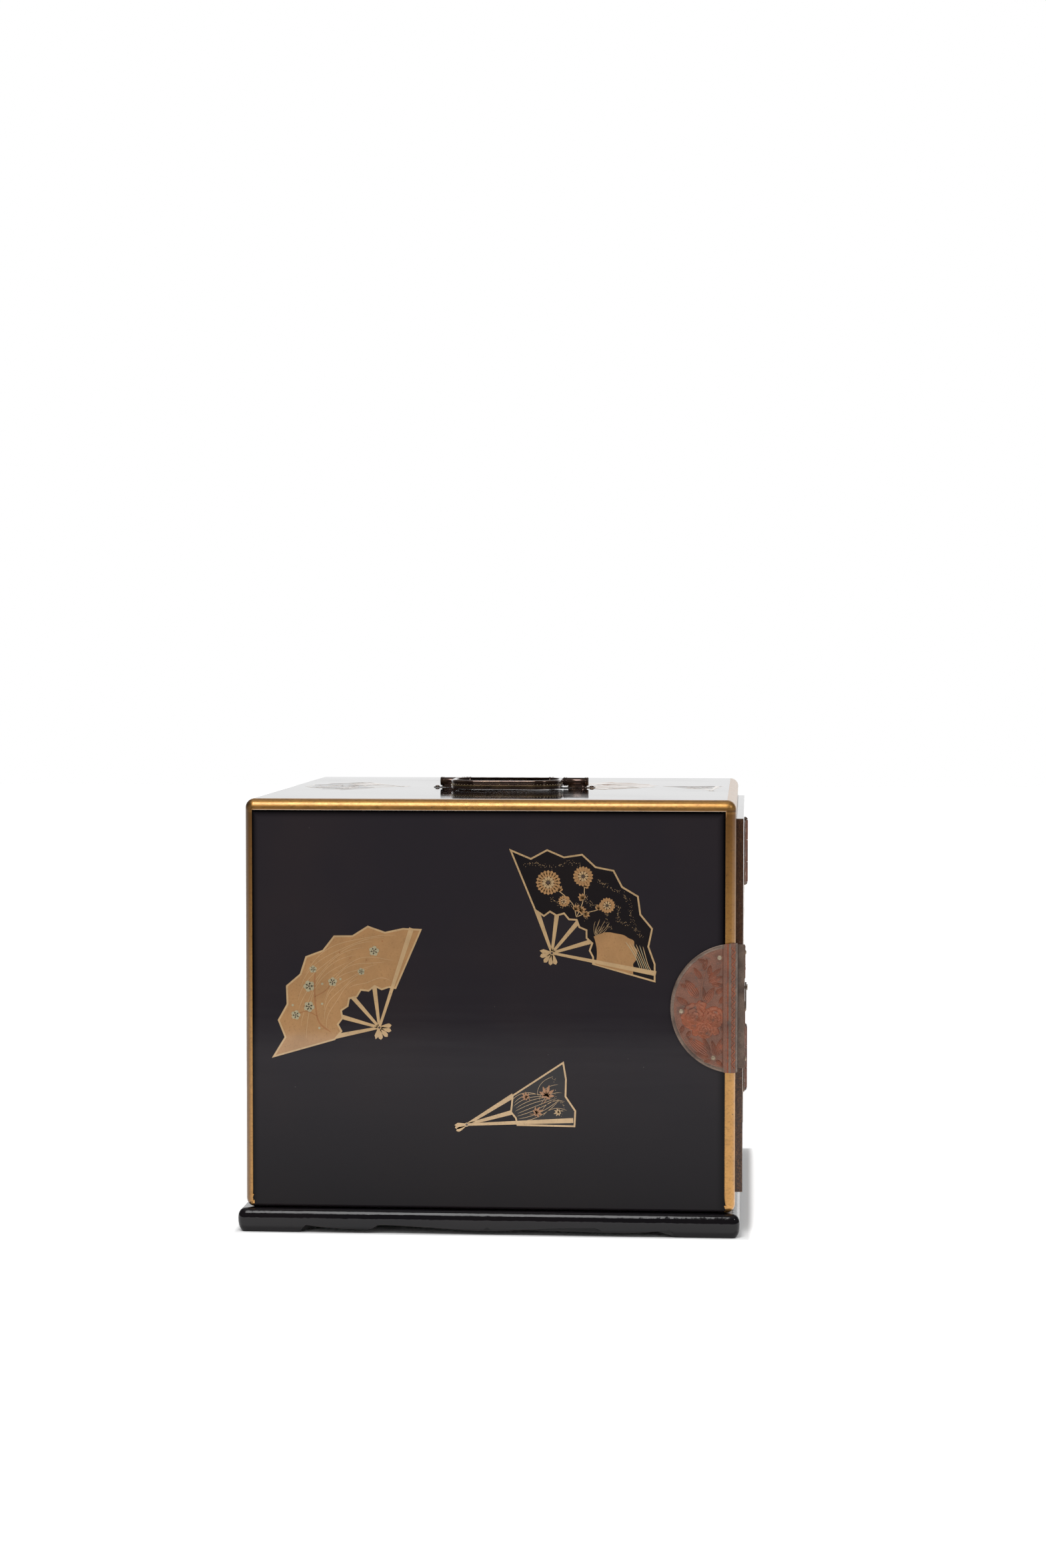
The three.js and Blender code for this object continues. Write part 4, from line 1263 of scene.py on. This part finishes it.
# Leaves round the peonies on the side plate: root and tip from the corner, and width
plate_leaves = (
    ((-20.6, 17.6), (-25.4, 24.6), 3.4), ((-22.6, 6.0), (-30.4, 17.2), 6.2),
    ((-28.6, 1.6), (-36.0, 6.8), 3.8), ((-19.2, 2.4), (-12.8, 13.0), 5.0),
    ((-18.9, 4.5), (-19.9, 13.0), 3.0), ((-16.4, 15.8), (-8.0, 19.4), 3.8),
    ((-16.6, 17.2), (-8.8, 24.6), 3.4), ((-14.6, 14.8), (-7.2, 13.8), 3.0),
    ((-12.2, 8.8), (-7.0, 12.6), 3.2), ((-9.8, 2.6), (-6.6, 8.2), 2.8), ((-16.2, 19.6), (-15.2, 26.4), 3.0),
    ((-19.6, 22.6), (-17.4, 30.2), 3.0), ((-17.6, 27.4), (-23.0, 29.8), 2.8),
    ((-29.6, 12.6), (-33.6, 14.6), 2.4), ((-14.9, -29.2), (-29.2, -17.8), 6.6),
    ((-16.2, -30.2), (-25.0, -27.0), 3.0), ((-15.6, -27.0), (-19.9, -17.4), 3.2),
    ((-12.6, -29.0), (-14.2, -19.6), 3.8), ((-11.2, -29.0), (-7.4, -17.4), 4.6),
    ((-11.6, -31.4), (-7.8, -35.2), 2.6), ((-9.4, -27.6), (-6.4, -22.6), 2.2),
    ((-15.0, -31.6), (-19.4, -32.8), 2.2), ((-8.8, -10.8), (-6.4, -16.4), 2.4),
    ((-31.6, -10.6), (-33.0, -15.6), 2.6), ((-27.4, -13.8), (-29.6, -18.2), 2.4),
    ((-8.0, -1.6), (-6.3, -6.4), 2.0),
)


def chased_leaf(bm, root, tip, width, height=0.3):
    """A leaf chased in copper: crowned, with a midrib and long curving veins cut beside it."""
    root, run, side = axis_of(root, tip)

    def half_at(v):
        return width / 2 * sin(pi * clamp(v, 0.003, 0.997) ** 0.85) ** 0.8

    def place(u, v):
        swell = min(1.0, 2.6 * sin(pi * clamp(v)))
        off = 2 * u - 1
        point = root + run * v + side * half_at(v) * off
        cut = cos(pi * 2.5 * off) ** 8
        return Vector((point.x, point.y, swell * (height * (1 - off ** 4) - vein_cut * cut)))
    verts = sheet(bm, 20, 16, place)
    raised(verts, 0.06, RELIEF)
    for face in faces_of(verts):
        middle = face.calc_center_median().to_2d() - root
        off = middle.dot(side) / half_at(middle.dot(run) / run.length_squared)
        if min(abs(abs(off) - 0.4 * k) for k in range(3)) < 0.07:
            face.material_index = CUT


def petal(bm, root, tip, width, height=0.42):
    """A full petal with a rolled, notched end."""
    root, run, side = axis_of(root, tip)

    def place(u, v):
        off = 2 * u - 1
        half = width / 2 * (0.35 + 0.65 * sin(pi * min(v * 0.62 + 0.06, 0.5)))
        round_off = 0.25 + 0.75 * dome(max(0.0, (v - 0.6) / 0.4))
        point = root + run * (v - 0.07 * v * (1 - abs(off)) ** 2) + side * half * off * round_off
        rise = height * (0.45 + 0.55 * v) * (1 - off ** 4) ** 0.5 * (1 - max(0.0, (v - 0.9) / 0.1) * 0.6)
        dish = 0.2 * sin(pi * v) * (1 - off * off)
        return Vector((point.x, point.y, rise - dish - 0.05 * (abs(off) < 0.12) * (v < 0.8)))
    verts = sheet(bm, 12, 12, place)
    raised(verts, 0.06, PETAL)
    for face in faces_of(verts):
        if any(edge.is_boundary for edge in face.edges):
            face.material_index = CUT


# Rings of a peony: number of petals, their near and far ends, width, height
peony_rings = ((7, 0.3, 1.0, 0.86, 0.3), (5, 0.1, 0.66, 0.66, 0.46), (3, 0.0, 0.36, 0.46, 0.6))


def peony(bm, x, y, size, turn=0.0):
    """A full-blown peony: three rings of petals, the inner ones higher."""
    centre = Vector((x, y, 0))
    for ring, (count, near, far, wide, height) in enumerate(peony_rings):
        for k in range(count):
            angle = turn + 360 / count * k + 31 * ring
            tip = centre + polar(angle, size * far)
            petal(bm, centre + polar(angle, size * near), tip, size * wide, height)


def spray(bm, x, y, angle, long, pairs=3, wide=3.4):
    """A stem with pairs of leaves and one at its tip."""
    root = Vector((x, y, 0))
    ribbon(bm, curve(root, root + polar(angle, long * 0.9)), 0.5, 0.24, 1, 8)
    for k in range(pairs):
        at = root + polar(angle, long * (0.25 + 0.55 * k / pairs))
        size = long * (0.5 - 0.06 * k)
        for lean in (38, -38):
            chased_leaf(bm, at, at + polar(angle + lean, size), wide)
    tip = root + polar(angle, long * 0.62)
    chased_leaf(bm, tip, tip + polar(angle, long * 0.55), wide * 1.1)


def nails(bm, *places):
    """Round-headed nails, each on its small plain seat."""
    for x, y in places:
        disc(bm, (x, y), 2.2, 0.26, PLATE, 20)

        def place(u, v, x=x, y=y):
            at = Vector((x, y, 0)) + polar(360 * u, 1.45 * max(v, 0.02))
            return at + Vector((0, 0, 0.3 + 0.7 * dome(v)))
        raised(sheet(bm, 16, 8, place), 0.0, NAIL)


def ridged(x, ridges):
    """Height at x of round ridges, each with its middle, half width and height."""
    return sum(height * dome((x - middle) / half) for middle, half, height in ridges)


def wrap_line():
    """The outer skin of the side plate in plan: points, each with the outward direction there."""
    rim_x = case_low.x / mm - lacquer_gap - side_plate_thick
    field_x = rim_x + panel_sunk / mm
    front_y = case_low.y / mm
    step_y = front_y + panel_front / mm + lacquer_gap
    edge = edge_round / mm
    bend = edge + lacquer_gap + side_plate_thick
    centre = Vector((case_low.x / mm + edge, front_y + edge))
    flap_x = opening_low.x / mm - 0.3
    points = [(Vector((field_x, front_y + plate_radius)), Vector((-1, 0))),
              (Vector((field_x, step_y + side_plate_thick + 0.5)), Vector((-1, 0))),
              (Vector((rim_x + 0.15, step_y + side_plate_thick - 0.1)), Vector((-0.7, 0.7))),
              (Vector((rim_x, step_y + 0.3)), Vector((-1, 0)))]
    for k in range(17):
        out = polar(180 + 90 * k / 16, 1).to_2d()
        points.append((centre + out * bend, out))
    points.append((Vector((flap_x, front_y - lacquer_gap - side_plate_thick)), Vector((0, -1))))
    return points


def add_side_plate():
    """The lock's plate on the case: flat on the field, over the gold rim and round the corner."""
    line = wrap_line()
    lengths = [0.0]
    for (a, _), (b, _) in zip(line, line[1:]):
        lengths.append(lengths[-1] + (b - a).length)
    corner = Vector((case_low.x / mm, case_low.y / mm))
    low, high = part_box("lock_side_plate")
    height = (low.z + high.z) / 2 / mm
    rim_from = lengths[3]
    ridges = [(rim_from + s, half, rise) for s, half, rise in rim_ridges]

    def at(s):
        k = 0
        while k < len(line) - 2 and s > lengths[k + 1]:
            k += 1
        t = clamp((s - lengths[k]) / (lengths[k + 1] - lengths[k]))
        return line[k][0].lerp(line[k + 1][0], t), line[k][1].lerp(line[k + 1][1], t).normalized()

    def place(u, v):
        s = lengths[-1] * u
        point, out = at(s)
        away_x = abs(point.x - corner.x) if out.y < -0.5 else 0
        away_y = abs(point.y - corner.y) if out.x < -0.5 else 0
        away = max(away_x, away_y)
        z = (2 * v - 1) * sqrt(max(plate_radius ** 2 - away ** 2, 0.0))
        rise = ridged(s, ridges)
        if s < rim_from - 0.8:
            rise += ridged(plate_radius - hypot(away, z), border_ridges)
        spot = point + out * rise
        return Vector((spot.x, spot.y, z + height))

    def part_of_plate(point):
        along = corner.y - point.y
        if along < -panel_front / mm - 0.5:
            return EDGE if hypot(along, point.z - height) > plate_radius - border_wide else PLATE
        if rim_groove[0] < along < rim_groove[1]:
            return CUT
        return EDGE if rim_band[0] < along < rim_band[1] or along > flap_from else PLATE

    bm = bmesh.new()
    sheet(bm, 190, 128, place)
    bmesh.ops.remove_doubles(bm, verts=bm.verts, dist=seam_reach)
    bmesh.ops.recalc_face_normals(bm, faces=bm.faces)
    if sum(f.normal.x for f in bm.faces) > 0:
        bmesh.ops.reverse_faces(bm, faces=bm.faces)
    for face in bm.faces:
        face.material_index = part_of_plate(face.calc_center_median())
    bmesh.ops.solidify(bm, geom=bm.faces[:], thickness=side_plate_thick * 0.9)
    bm.transform(Matrix.Scale(mm, 4))
    finished("lock_side_plate_finish", bm, "case", coppers, ("lock_side_plate",))
    chase_side_plate(height)

    bm = bmesh.new()
    for phase in (0, pi):
        def scroll(u, v, phase=phase):
            z = (2 * v - 1) * (plate_radius - 2.5)
            s = rim_from + 6.0 + 1.15 * sin(z * 1.25 + phase) + (u - 0.5) * 0.55
            point, out = at(s)
            spot = point + out * (0.2 if 0.2 < u < 0.8 else 0.0)
            return Vector((spot.x, spot.y, z + height))
        sheet(bm, 4, 300, scroll)
    bmesh.ops.recalc_face_normals(bm, faces=bm.faces)
    bmesh.ops.solidify(bm, geom=bm.faces[:], thickness=0.2)
    bm.transform(Matrix.Scale(mm, 4))
    finished("lock_rim_scrolls", bm, "case", [copper_petal], weld=False)


def chase_side_plate(height):
    """Peonies among leaves on the plate's flat half; x runs from the case's corner, towards the front."""
    skin = case_low.x - lacquer_gap * mm - side_plate_thick * mm + panel_sunk
    bm = bmesh.new()
    ribbon(bm, curve((-18.6, 1), (-20.4, 8), (-20, 16), (-17.6, 24.5)), 0.7, 0.22, RELIEF, 24)
    ribbon(bm, curve((-15.6, -14), (-15.2, -21), (-13.6, -29.5)), 0.7, 0.22, RELIEF, 16)
    for root, tip, wide in plate_leaves:
        chased_leaf(bm, root, tip, wide)
    peony(bm, -24.6, -5.2, 8.6, 12)
    peony(bm, -13.2, -5.6, 6.8, 40)
    peony(bm, -18.4, -13.4, 5.2, 0)
    petal(bm, (-21.5, -1.5), (-20.0, 4.6), 6.0)
    petal(bm, (-24.0, -12.0), (-24.6, -17.0), 4.2)
    petal(bm, (-13.5, -11.0), (-11.0, -16.4), 4.4)
    nails(bm, (-9.8, 30.7), (-32.9, -2.0), (-13.4, -30.2))
    face = laid_on((skin, case_low.y, height * mm), (0, -1, 0), (0, 0, 1))
    inlaid("lock_side_plate_chasing", bm, "case", face, coppers, chasing_sunk)


def plate_border(bm, radius, from_angle, to_angle, lift):
    """A raised border round the outer edge of a half-round plate."""
    def place(u, v):
        at = polar(from_angle + (to_angle - from_angle) * v, radius - 0.15 - 2.0 * u)
        return at + Vector((0, 0, lift * sin(pi * min(max(u, 0.03), 0.97)) ** 0.6))
    raised(sheet(bm, 6, 64, place), 0.05, 0)


def chase(name, body, face, radius, borders, lift, wide, peonies, sprays, spots):
    """Chased work on a half-round plate: its border, peonies, leaves and nails."""
    bm = bmesh.new()
    for from_angle, to_angle in borders:
        plate_border(bm, radius, from_angle, to_angle, lift)
    for flower in peonies:
        peony(bm, *flower)
    for x, y, angle, long, pairs in sprays:
        spray(bm, x, y, angle, long, pairs, wide)
    nails(bm, *spots)
    inlaid(name, bm, body, face, coppers, chasing_sunk)


# Clear of the swing of the keyhole cover
front_plate_work = dict(
    radius=plate_radius, borders=((-72, 0), (23, 72)), lift=0.35, wide=2.8,
    peonies=((20.0, 23, 5.6, 15), (23.5, -20.5, 6.4, 60)),
    sprays=((30, 15.2, 80, 8, 1), (14.2, 17.4, 96, 6, 1), (15.6, -10, -96, 9, 1), (31, -9, -84, 10, 2),
            (22, 29, 20, 7, 1), (20, -28.5, -40, 7, 1)),
    spots=((15.5, 32.6), (36.4, -4.6), (15.5, -32.6)))
case_nail_in = 3.2


def add_lock():
    add_side_plate()
    eased("lock_front_plate", "door", [copper_edge], width=0.22)
    low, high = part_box("lock_front_plate")
    face = laid_on((case_low.x, low.y, (low.z + high.z) / 2), (1, 0, 0), (0, 0, 1))
    chase("lock_front_plate_chasing", "door", face, **front_plate_work)
    eased("keyhole_cover", "keyhole_cover", [copper_edge], width=0.25)
    eased("cover_rivet", "door", [nail_metal], width=0.2)
    eased("lock_case", "door", [iron], width=0.5)
    x, y = (side / 2 - case_nail_in for side in size_of("lock_case"))
    bm = bmesh.new()
    nails(bm, (-x, -y), (-x, y), (x, -y), (x, y))
    bm.transform(back_of("lock_case") @ nearly_flat)
    finished("lock_case_nails", bm, "door", coppers, weld=False)
    eased("lock_bolt", "lock_bolt", [iron], width=0.3)


hinge_reach = 22.0
door_leaf_thick = 0.7
case_leaf_thick = 0.8
hinge_flat = Matrix.Diagonal((1, 1, 0.35, 1))
door_leaf_work = dict(
    radius=hinge_reach, borders=((-90, 90),), lift=0.3, wide=2.8, peonies=((3, 0, 6.4, 0),),
    sprays=((8, 6.5, 62, 9, 1), (8, -6.5, -62, 9, 1), (-4, 6.5, 115, 9, 1), (-4, -6.5, -115, 9, 1),
            (10.5, 0, 0, 5, 0)),
    spots=((-8.6, 15.5), (17, 0), (-8.6, -15.5)))
case_leaf_work = dict(
    radius=hinge_reach, borders=((-68, 68),), lift=0.3, wide=2.4, peonies=((12.5, 0, 5.2, 0),),
    sprays=((13, 5.5, 72, 8, 1), (13, -5.5, -72, 8, 1)),
    spots=((8.6, 18.2), (19, 0), (8.6, -18.2)))


def add_hinges():
    """Hinge leaves, chased where they lie on the door's face and on the sunk side panel."""
    for name in ("lower_hinge", "upper_hinge"):
        low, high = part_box(name + "_pin")
        height = (low.z + high.z) / 2
        eased(name + "_case_leaf", "case", [copper], width=0.2)
        eased(name + "_door_leaf", "door", [copper], width=0.2)
        eased(name + "_pin", "case", [copper_edge], width=0.3)
        round_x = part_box(name + "_door_leaf")[0].x + hinge_reach * mm
        leaf_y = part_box("door")[0].y - (lacquer_gap + door_leaf_thick) * mm
        face = laid_on((round_x, leaf_y, height), (-1, 0, 0), (0, 0, 1)) @ flip_z
        chase(name + "_door_chasing", "door", face @ hinge_flat, **door_leaf_work)
        skin_x = case_high.x - panel_sunk + (lacquer_gap + case_leaf_thick) * mm
        round_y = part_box(name + "_case_leaf")[1].y - hinge_reach * mm
        face = laid_on((skin_x, round_y, height), (0, 1, 0), (0, 0, 1))
        chase(name + "_case_chasing", "case", face @ hinge_flat, **case_leaf_work)


# Handle

def handle_middle():
    low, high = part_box("handle_rod")
    return (low + high) / 2


sleeve_radius = 2.95
neck_radius = 2.6
rod_radius = 2.1
rod_gap = 0.05
post_inner = 32.3
post_outer = 49.0
barrel_half = 29.0
bail_shift = 2.9
bail_half = 36.0
bail_reach = 51.0
bail_band = 3.0
bail_corner = 18.0
arm_root = 1.5
arm_end = 14.0
lip_round = 1.2
lip_height = 5.7
bead_out = 1.1
bead_height = 3.95
bead_round = 0.34
bead_step = 5
skirt_in = 7.3
skirt_wide = 2.3
skirt_long = 6.4
stem_half = 1.6
clench_half = 5
tip_in = 2.4 * mm
tip_long = 1.5 * mm
tip_wide = 0.9 * mm
tip_tall = 0.65 * mm

# Half the section of the bail below its lip: distance out and height
bail_foot = ((-0.75, 4.6), (-0.75, 3.9), (-1.5, 3.55), (-1.5, 3.05), (-1.15, 2.7), (-1.3, 1.9), (-1.0, 1.1),
             (-0.5, 0.9))

# One end of the barrel and of a post's sleeve: radius and distance from the end
barrel_end = ((sleeve_radius, 0), (sleeve_radius, 1.2), (2.5, 1.6), (sleeve_radius, 2.2),
              (sleeve_radius, 3.0), (2.7, 3.4))
sleeve_end = ((neck_radius, 0.0), (sleeve_radius, 1.1), (neck_radius, 1.5), (2.9, 2.1), (neck_radius, 2.7))


def bail_line():
    """The middle line of the bail's hoop in plan, from one end of the barrel round to the other."""
    half = bail_half - bail_band / 2
    far = -bail_reach + bail_band / 2
    corner = bail_corner - bail_band / 2
    start = barrel_half - bail_band / 2
    points = []
    for k in range(9):
        t = k / 8
        x = -arm_root - (arm_end - arm_root) * t
        points.append(Vector((x, start + (half - start) * sin(t * pi / 2))))
    for k in range(13):
        angle = radians(90 + 90 * k / 12)
        x = far + corner + corner * cos(angle)
        points.append(Vector((x, half - corner + corner * sin(angle))))
    points.append(Vector((far, 0)))
    return points + [Vector((p.x, -p.y)) for p in reversed(points[:-1])]


def bail_hoop(bm, line):
    """The bail's section, a round lip on a moulded foot, drawn along its middle line."""
    lip = []
    for k in range(-40, 221, 20):
        angle = radians(k)
        lip.append((lip_round * cos(angle), lip_height + lip_round * sin(angle)))
    band = lip + list(bail_foot) + [(-n, z) for n, z in reversed(bail_foot)]
    count = len(line) - 1
    sides = len(band)

    def place(u, v):
        k = min(int(u * count + 1e-6), count - 1)
        t = u * count - k
        point = line[k].lerp(line[k + 1], t)
        before, after = line[max(k - 1, 0)], line[min(k + 2, count)]
        ahead = ((line[k + 1] - before) * (1 - t) + (after - line[k]) * t).normalized()
        n, z = band[round(v * sides) % sides]
        return Vector((point.x - ahead.y * n, point.y + ahead.x * n, z))

    for face in faces_of(sheet(bm, count * 3, sides, place)):
        face.material_index = 2 if 2.8 < face.calc_center_median().z < 3.7 else 0
    capped(bm)


def bail_barrel(bm, axis_up):
    """The barrel on the rod, with collars at its ends and a scalloped leaf towards the hoop."""
    bore = rod_radius + rod_gap
    profile = [(bore, -barrel_half)]
    profile += [(r, a - barrel_half) for r, a in barrel_end]
    profile += [(r, barrel_half - a) for r, a in reversed(barrel_end)]
    profile.append((bore, barrel_half))
    turned(bm, profile, (0, 0, axis_up), (0, 1, 0), 36)

    def scallop(u, v):
        wave = abs(sin(v * pi * 6))
        return Vector((-1.6 - (2.4 + 1.3 * wave) * u, (2 * v - 1) * (barrel_half - 3), 6.1))
    faces = faces_of(sheet(bm, 3, 72, scallop))
    grown = bmesh.ops.extrude_face_region(bm, geom=faces)["geom"]
    for vert in [g for g in grown if isinstance(g, bmesh.types.BMVert)]:
        vert.co.z += 0.75


def bail_beads(bm, line):
    """Small beads chased in the hoop's groove."""
    for k in range(2, len(line) - 3):
        run = line[k + 1] - line[k]
        ahead = run.normalized()
        out = Vector((ahead.y, -ahead.x))
        count = max(1, int(run.length / bead_step))
        for j in range(count):
            spot = line[k].lerp(line[k + 1], (j + 0.5) / count) + out * bead_out
            made = bmesh.ops.create_icosphere(bm, subdivisions=1, radius=bead_round)["verts"]
            bmesh.ops.translate(bm, verts=made, vec=(spot.x, spot.y, bead_height))
            for face in faces_of(made):
                face.material_index = 1


def add_bail():
    middle = handle_middle()
    top = case_high.z
    line = bail_line()
    bm = bmesh.new()
    bail_hoop(bm, line)
    bail_barrel(bm, (middle.z - top) / mm)
    bail_beads(bm, line)
    bm.transform(Matrix.Translation((middle.x, middle.y + bail_shift * mm, top)) @ Matrix.Scale(mm, 4))
    finished("bail_finish", bm, "bail", [bronze, nail_metal, bronze_lip], ("bail",), sharp=40)


def add_posts():
    """Each post: a sleeve with collars, a broad fluted foot, and a stem clenched inside the case."""
    middle = handle_middle()
    top = case_high.z
    axis_up = (middle.z - top) / mm
    bore = rod_radius + rod_gap
    long = post_outer - post_inner
    sleeve = [(bore, 0.0), *sleeve_end]
    sleeve += [(r, long - a) for r, a in reversed(sleeve_end)] + [(bore, long)]
    for node, side in (("handle_post_front", -1), ("handle_post_back", 1)):
        start = -post_outer if side < 0 else post_inner
        bm = bmesh.new()
        turned(bm, [(r, a + start) for r, a in sleeve], (0, 0, axis_up), (0, 1, 0), 36)
        foot = side * (post_outer - skirt_in)

        def skirt(u, v, foot=foot):
            angle = 2 * pi * u
            flute = 1 + 0.03 * cos(22 * angle)
            spread = flute * (1.0 - 0.30 * v + 0.20 * v * v)
            x = skirt_wide * spread * cos(angle)
            return Vector((x, foot + skirt_long * spread * sin(angle), 0.62 + (axis_up - 1.2) * v))
        sheet(bm, 84, 8, skirt)
        capped(bm)
        centre = side * (post_inner + post_outer) / 2
        low_end = (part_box(node)[0].z - top) / mm
        for half, low, high, edge in ((stem_half, -12.5, 1.5, 0.2), (clench_half, low_end, -11.3, 0.3)):
            near = Vector((-half, centre - stem_half, low))
            appended(bm, rounded_box(near, Vector((half, centre + stem_half, high)), edge, 1))
        bm.transform(Matrix.Translation((middle.x, middle.y, top)) @ Matrix.Scale(mm, 4))
        finished(node + "_finish", bm, "case", [bronze], (node,), sharp=40)


def add_handle():
    add_bail()
    add_posts()
    eased("handle_plate", "case", [bronze], width=0.12)
    eased("handle_rod", "case", [bronze], width=0.3)
    low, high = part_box("handle_plate")
    spread = Matrix.Diagonal((tip_wide, tip_long, tip_tall, 1))
    bm = bmesh.new()
    for y in (low.y + tip_in, high.y - tip_in):
        place = Matrix.Translation(((low.x + high.x) / 2, y, low.z + tip_tall)) @ spread
        bmesh.ops.create_uvsphere(bm, u_segments=16, v_segments=10, radius=1, matrix=place)
    finished("handle_plate_tips", bm, "case", [bronze])


# Stage

def add_camera():
    data = bpy.data.cameras.new("photo_view")
    data.lens = lens
    data.sensor_width = sensor
    data.clip_end = 60
    camera = bpy.data.objects.new("photo_view", data)
    turn = Matrix.Rotation(camera_turn - pi / 2, 4, "Z")
    dip = Matrix.Rotation(pi / 2 - camera_dip, 4, "X")
    lean = Matrix.Rotation(camera_lean, 4, "Z")
    camera.matrix_world = Matrix.Translation(camera_at) @ turn @ dip @ lean
    bpy.context.scene.collection.objects.link(camera)
    bpy.context.scene.camera = camera


def add_floor():
    """A white table that ends before the camera and shows pure white only clear of the object."""
    bm = bmesh.new()
    bmesh.ops.create_grid(bm, x_segments=1, y_segments=1, size=1)
    for vert in bm.verts:
        vert.co.x = floor_near if vert.co.x < 0 else floor_far
        vert.co.y *= floor_half
    mesh = bpy.data.meshes.new("floor")
    bm.to_mesh(mesh)
    bm.free()
    floor = bpy.data.objects.new("floor", mesh)
    bpy.context.scene.collection.objects.link(floor)
    finish = Finish("white_floor", (0.93, 0.93, 0.93), 0.9, level=0)
    past = []
    for axis, half in (("X", cad_high.x), ("Y", cad_high.y)):
        past.append(finish.join("SUBTRACT", finish.join("ABSOLUTE", finish.along(axis), 0), half))
    beyond = finish.step(finish.join("MAXIMUM", *past), 0.0, glow_edge, 0.0, floor_glow, soft=True)
    path = finish.node("LightPath", {}).outputs
    seen = finish.join("MAXIMUM", path["Is Camera Ray"], path["Is Glossy Ray"], path["Is Transmission Ray"])
    finish.shade({"Emission Color": (1, 1, 1), "Emission Strength": finish.join("MULTIPLY", seen, beyond)})
    mesh.materials.append(finish.done())


def add_world():
    """A white room; mirror rays find it bright behind the object and overhead, dim behind the camera."""
    world = bpy.data.worlds.new("studio")
    bpy.context.scene.world = world
    world.use_nodes = True
    room = Nodes(world.node_tree)
    background = world.node_tree.nodes["Background"]
    path = room.node("LightPath", {}).outputs
    direction = room.split(room.node("TexCoord", {}).outputs["Generated"])
    backdrop = room.step(direction["X"], 0.55, 0.9, room_dim, 1.0, soft=True)
    overhead = room.step(direction["Z"], 0.7, 1.0, room_dim, room_overhead, soft=True)
    mirrored = room.join("MULTIPLY", room.join("MAXIMUM", backdrop, overhead), path["Is Glossy Ray"])
    diffuse = room.join("MULTIPLY", path["Is Diffuse Ray"], room_light)
    light = room.join("MAXIMUM", mirrored, diffuse, path["Is Camera Ray"], path["Is Transmission Ray"])
    room.put(background.inputs["Color"], (1, 1, 1))
    room.put(background.inputs["Strength"], light)


def add_lamp(name, at, towards, wide, deep, watts):
    data = bpy.data.lights.new(name, "AREA")
    data.shape = "RECTANGLE"
    data.size = wide
    data.size_y = deep
    data.energy = watts
    lamp = bpy.data.objects.new(name, data)
    aim = Vector(towards) - Vector(at)
    lamp.matrix_world = Matrix.Translation(at) @ aim.to_track_quat("-Z", "Y").to_matrix().to_4x4()
    bpy.context.scene.collection.objects.link(lamp)


def add_stage():
    add_camera()
    add_floor()
    add_world()
    for lamp in lamps:
        add_lamp(*lamp)
    bpy.context.scene.view_settings.view_transform = "Standard"


add_stage()
case_shell()
add_plinth()
add_inside()
add_door()
add_drawers()
add_hinges()
add_lock()
add_handle()
add_fans()
